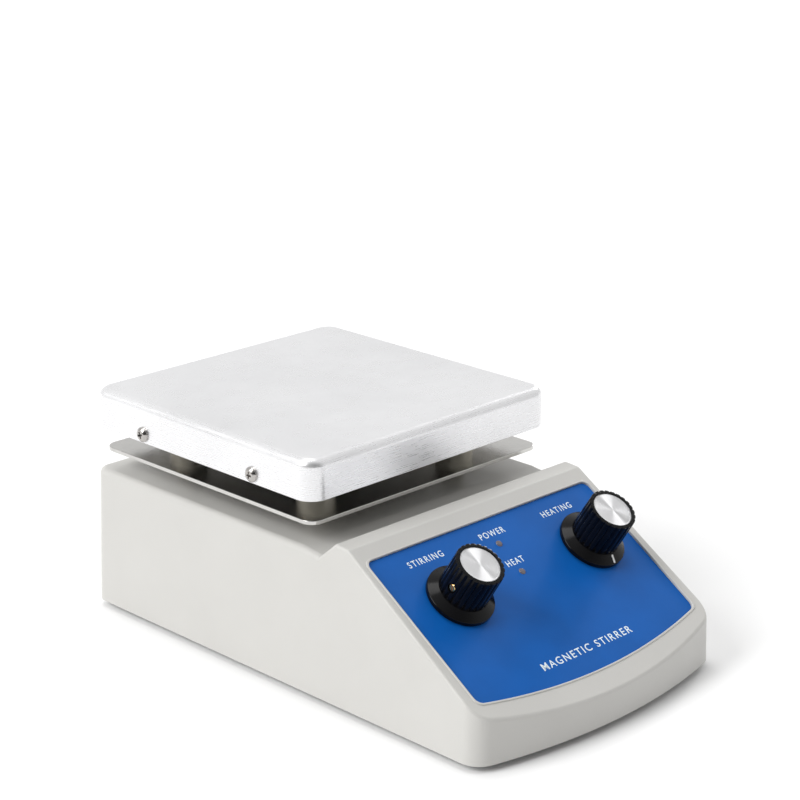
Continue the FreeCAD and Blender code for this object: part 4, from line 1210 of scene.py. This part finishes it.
SLOT_MATERIALS = {
    "zinc_sheet": "zinc_sheet", "bright_steel": "screw_steel", "brass": "brass", "stainless": "turned_steel",
    "black_plastic": "fitting_plastic", "plate_aluminium": "cast_plate", "rubber": "rubber",
    "knob_black": "knob_plastic", "case_grey": "case_plastic", "lamp_clear": "lamp_epoxy",
    "pointer_white": "white_paint",
}
INNER_COLOURS = {
    "board_green": (0.02, 0.16, 0.07), "copper": (0.45, 0.19, 0.08), "ceramic_fibre": (0.8, 0.78, 0.72),
    "mica": (0.42, 0.35, 0.24), "magnet_nickel": (0.55, 0.54, 0.5), "glass": (0.8, 0.85, 0.86),
}


class STIRRER_OT_inner(bpy.types.Operator):
    """Give every CAD piece that stays in view its finish"""
    bl_idname = "stirrer.inner"
    bl_label = "Inner pieces"

    def execute(self, context):
        for part in frame["record"]["subparts"]:
            node = frame["nodes"][part["node"]]
            if node.hide_render:
                continue
            slot = part["material_slot"]
            # The pan under the plate takes the dark painted-shade sheet instead of its slot's finish.
            if part["node"] == "plate_pan":
                finish = material("pan_painted_shade")
            elif slot in SLOT_MATERIALS:
                finish = material(SLOT_MATERIALS[slot])
            else:
                finish = bpy.data.materials.get("inner_" + slot)
                finish = finish or moulded("inner_" + slot, INNER_COLOURS.get(slot, (0.5, 0.5, 0.5)))
            node.data.materials.clear()
            node.data.materials.append(finish)
        return {"FINISHED"}


CAMERA_TURN = [math.radians(angle) for angle in (-44.59, 18.08, -0.2)]
CAMERA_TARGET = Vector((39.57, 35.06, 72.88)) * MM
CAMERA_DISTANCE = 846.4 * MM
CAMERA_LENS = 99.21


class STIRRER_OT_stage(bpy.types.Operator):
    """Set the pale floor, the studio lights and the camera"""
    bl_idname = "stirrer.stage"
    bl_label = "Stage"

    def execute(self, context):
        bpy.ops.object.select_all(action="DESELECT")
        bpy.ops.mesh.primitive_plane_add(size=14)
        floor = newest("floor")
        nodes = Nodes("floor_paper")
        base = context.scene.stirrer_finishes.floor
        nodes.link(nodes.tint(nodes.ranged(nodes.noise(3.0), 0, 1), shade(base, 0.99), base), "Base Color")
        nodes.set(Roughness=0.9)
        floor.data.materials.append(nodes.material)

        self.surround(context)
        self.sun("key_light", (-1.0, 0.3, 0.75), 34.0, 2.12)
        self.sun("top_light", (0.0, 0.2, 0.95), 26.0, 0.5)
        self.sun("rim_light", (0.85, 0.3, 0.4), 10.0, 0.5)
        self.camera(context)
        return {"FINISHED"}

    def surround(self, context):
        """A studio that is bright behind the object and dim on the side of the table's near edge."""
        world = bpy.data.worlds.new("studio")
        world.use_nodes = True
        tree = world.node_tree
        direction = tree.nodes.new("ShaderNodeTexCoord").outputs["Generated"]
        toward = tree.nodes.new("ShaderNodeVectorMath")
        toward.operation = "DOT_PRODUCT"
        toward.inputs[1].default_value = (0.70, 0.70, 0.15)
        spread = tree.nodes.new("ShaderNodeMapRange")
        spread.interpolation_type = "SMOOTHSTEP"
        for socket, value in (("From Min", -0.8), ("From Max", 0.0), ("To Min", 0.05), ("To Max", 0.82)):
            spread.inputs[socket].default_value = value
        tree.links.new(direction, toward.inputs[0])
        tree.links.new(toward.outputs["Value"], spread.inputs["Value"])
        tree.links.new(spread.outputs[0], tree.nodes["Background"].inputs["Strength"])
        tree.nodes["Background"].inputs["Color"].default_value = (1, 1, 1, 1)
        context.scene.world = world
        context.scene.view_settings.view_transform = "Standard"

    def sun(self, name, source, spread, strength):
        """A soft distant light that comes from a direction."""
        bpy.ops.object.select_all(action="DESELECT")
        bpy.ops.object.light_add(type="SUN", location=source)
        lamp = newest(name)
        lamp.data.angle, lamp.data.energy = math.radians(spread), strength
        lamp.rotation_euler = (-Vector(source)).to_track_quat("-Z", "Y").to_euler()

    def camera(self, context):
        """A long lens that looks down on the front left corner."""
        azimuth, elevation, roll = CAMERA_TURN
        back = Vector((math.sin(azimuth) * math.cos(elevation), -math.cos(azimuth) * math.cos(elevation),
                       math.sin(elevation)))
        bpy.ops.object.camera_add(location=CAMERA_TARGET + back * CAMERA_DISTANCE)
        camera = newest("camera")
        camera.rotation_mode = "QUATERNION"
        look = (-back).to_track_quat("-Z", "Y")
        camera.rotation_quaternion = look @ Matrix.Rotation(roll, 3, "Z").to_quaternion()
        camera.data.sensor_width = 36
        camera.data.lens = CAMERA_LENS
        camera.data.clip_start = 0.01
        context.scene.camera = camera


class STIRRER_PT_build(bpy.types.Panel):
    """The builders of the stirrer's pieces"""
    bl_label = "Magnetic stirrer"
    bl_idname = "STIRRER_PT_build"
    bl_space_type = "VIEW_3D"
    bl_region_type = "UI"
    bl_category = "Stirrer"

    def draw(self, context):
        for operator in OPERATORS:
            self.layout.operator(operator.bl_idname)
        for name, group in GROUPS.items():
            box = self.layout.box()
            box.label(text=group.__name__)
            for key in group.__annotations__:
                box.prop(getattr(context.scene, name), key)


GROUPS = {"stirrer_case": CaseSizes, "stirrer_panel": PanelSizes, "stirrer_knob": KnobSizes,
          "stirrer_plate": PlateSizes, "stirrer_rear": RearSizes, "stirrer_finishes": Finishes}
OPERATORS = [STIRRER_OT_case, STIRRER_OT_panel, STIRRER_OT_lettering, STIRRER_OT_lamps, STIRRER_OT_knobs,
             STIRRER_OT_plate, STIRRER_OT_shield, STIRRER_OT_side_screws, STIRRER_OT_inlet,
             STIRRER_OT_switch, STIRRER_OT_fuse, STIRRER_OT_underside, STIRRER_OT_inner, STIRRER_OT_stage]
CLASSES = [*GROUPS.values(), *OPERATORS, STIRRER_PT_build]


def register():
    for cls in CLASSES:
        bpy.utils.register_class(cls)
    for name, group in GROUPS.items():
        setattr(bpy.types.Scene, name, PointerProperty(type=group))


def unregister():
    for name in GROUPS:
        delattr(bpy.types.Scene, name)
    for cls in reversed(CLASSES):
        bpy.utils.unregister_class(cls)


def run(operator):
    """Call one of the operators by its name, and stop if it could not finish."""
    family, name = operator.bl_idname.split(".")
    if getattr(getattr(bpy.ops, family), name)() != {"FINISHED"}:
        raise RuntimeError(f"{operator.bl_idname} did not finish")


def main():
    register()
    for operator in OPERATORS:
        run(operator)


if __name__ == "__main__":
    main()
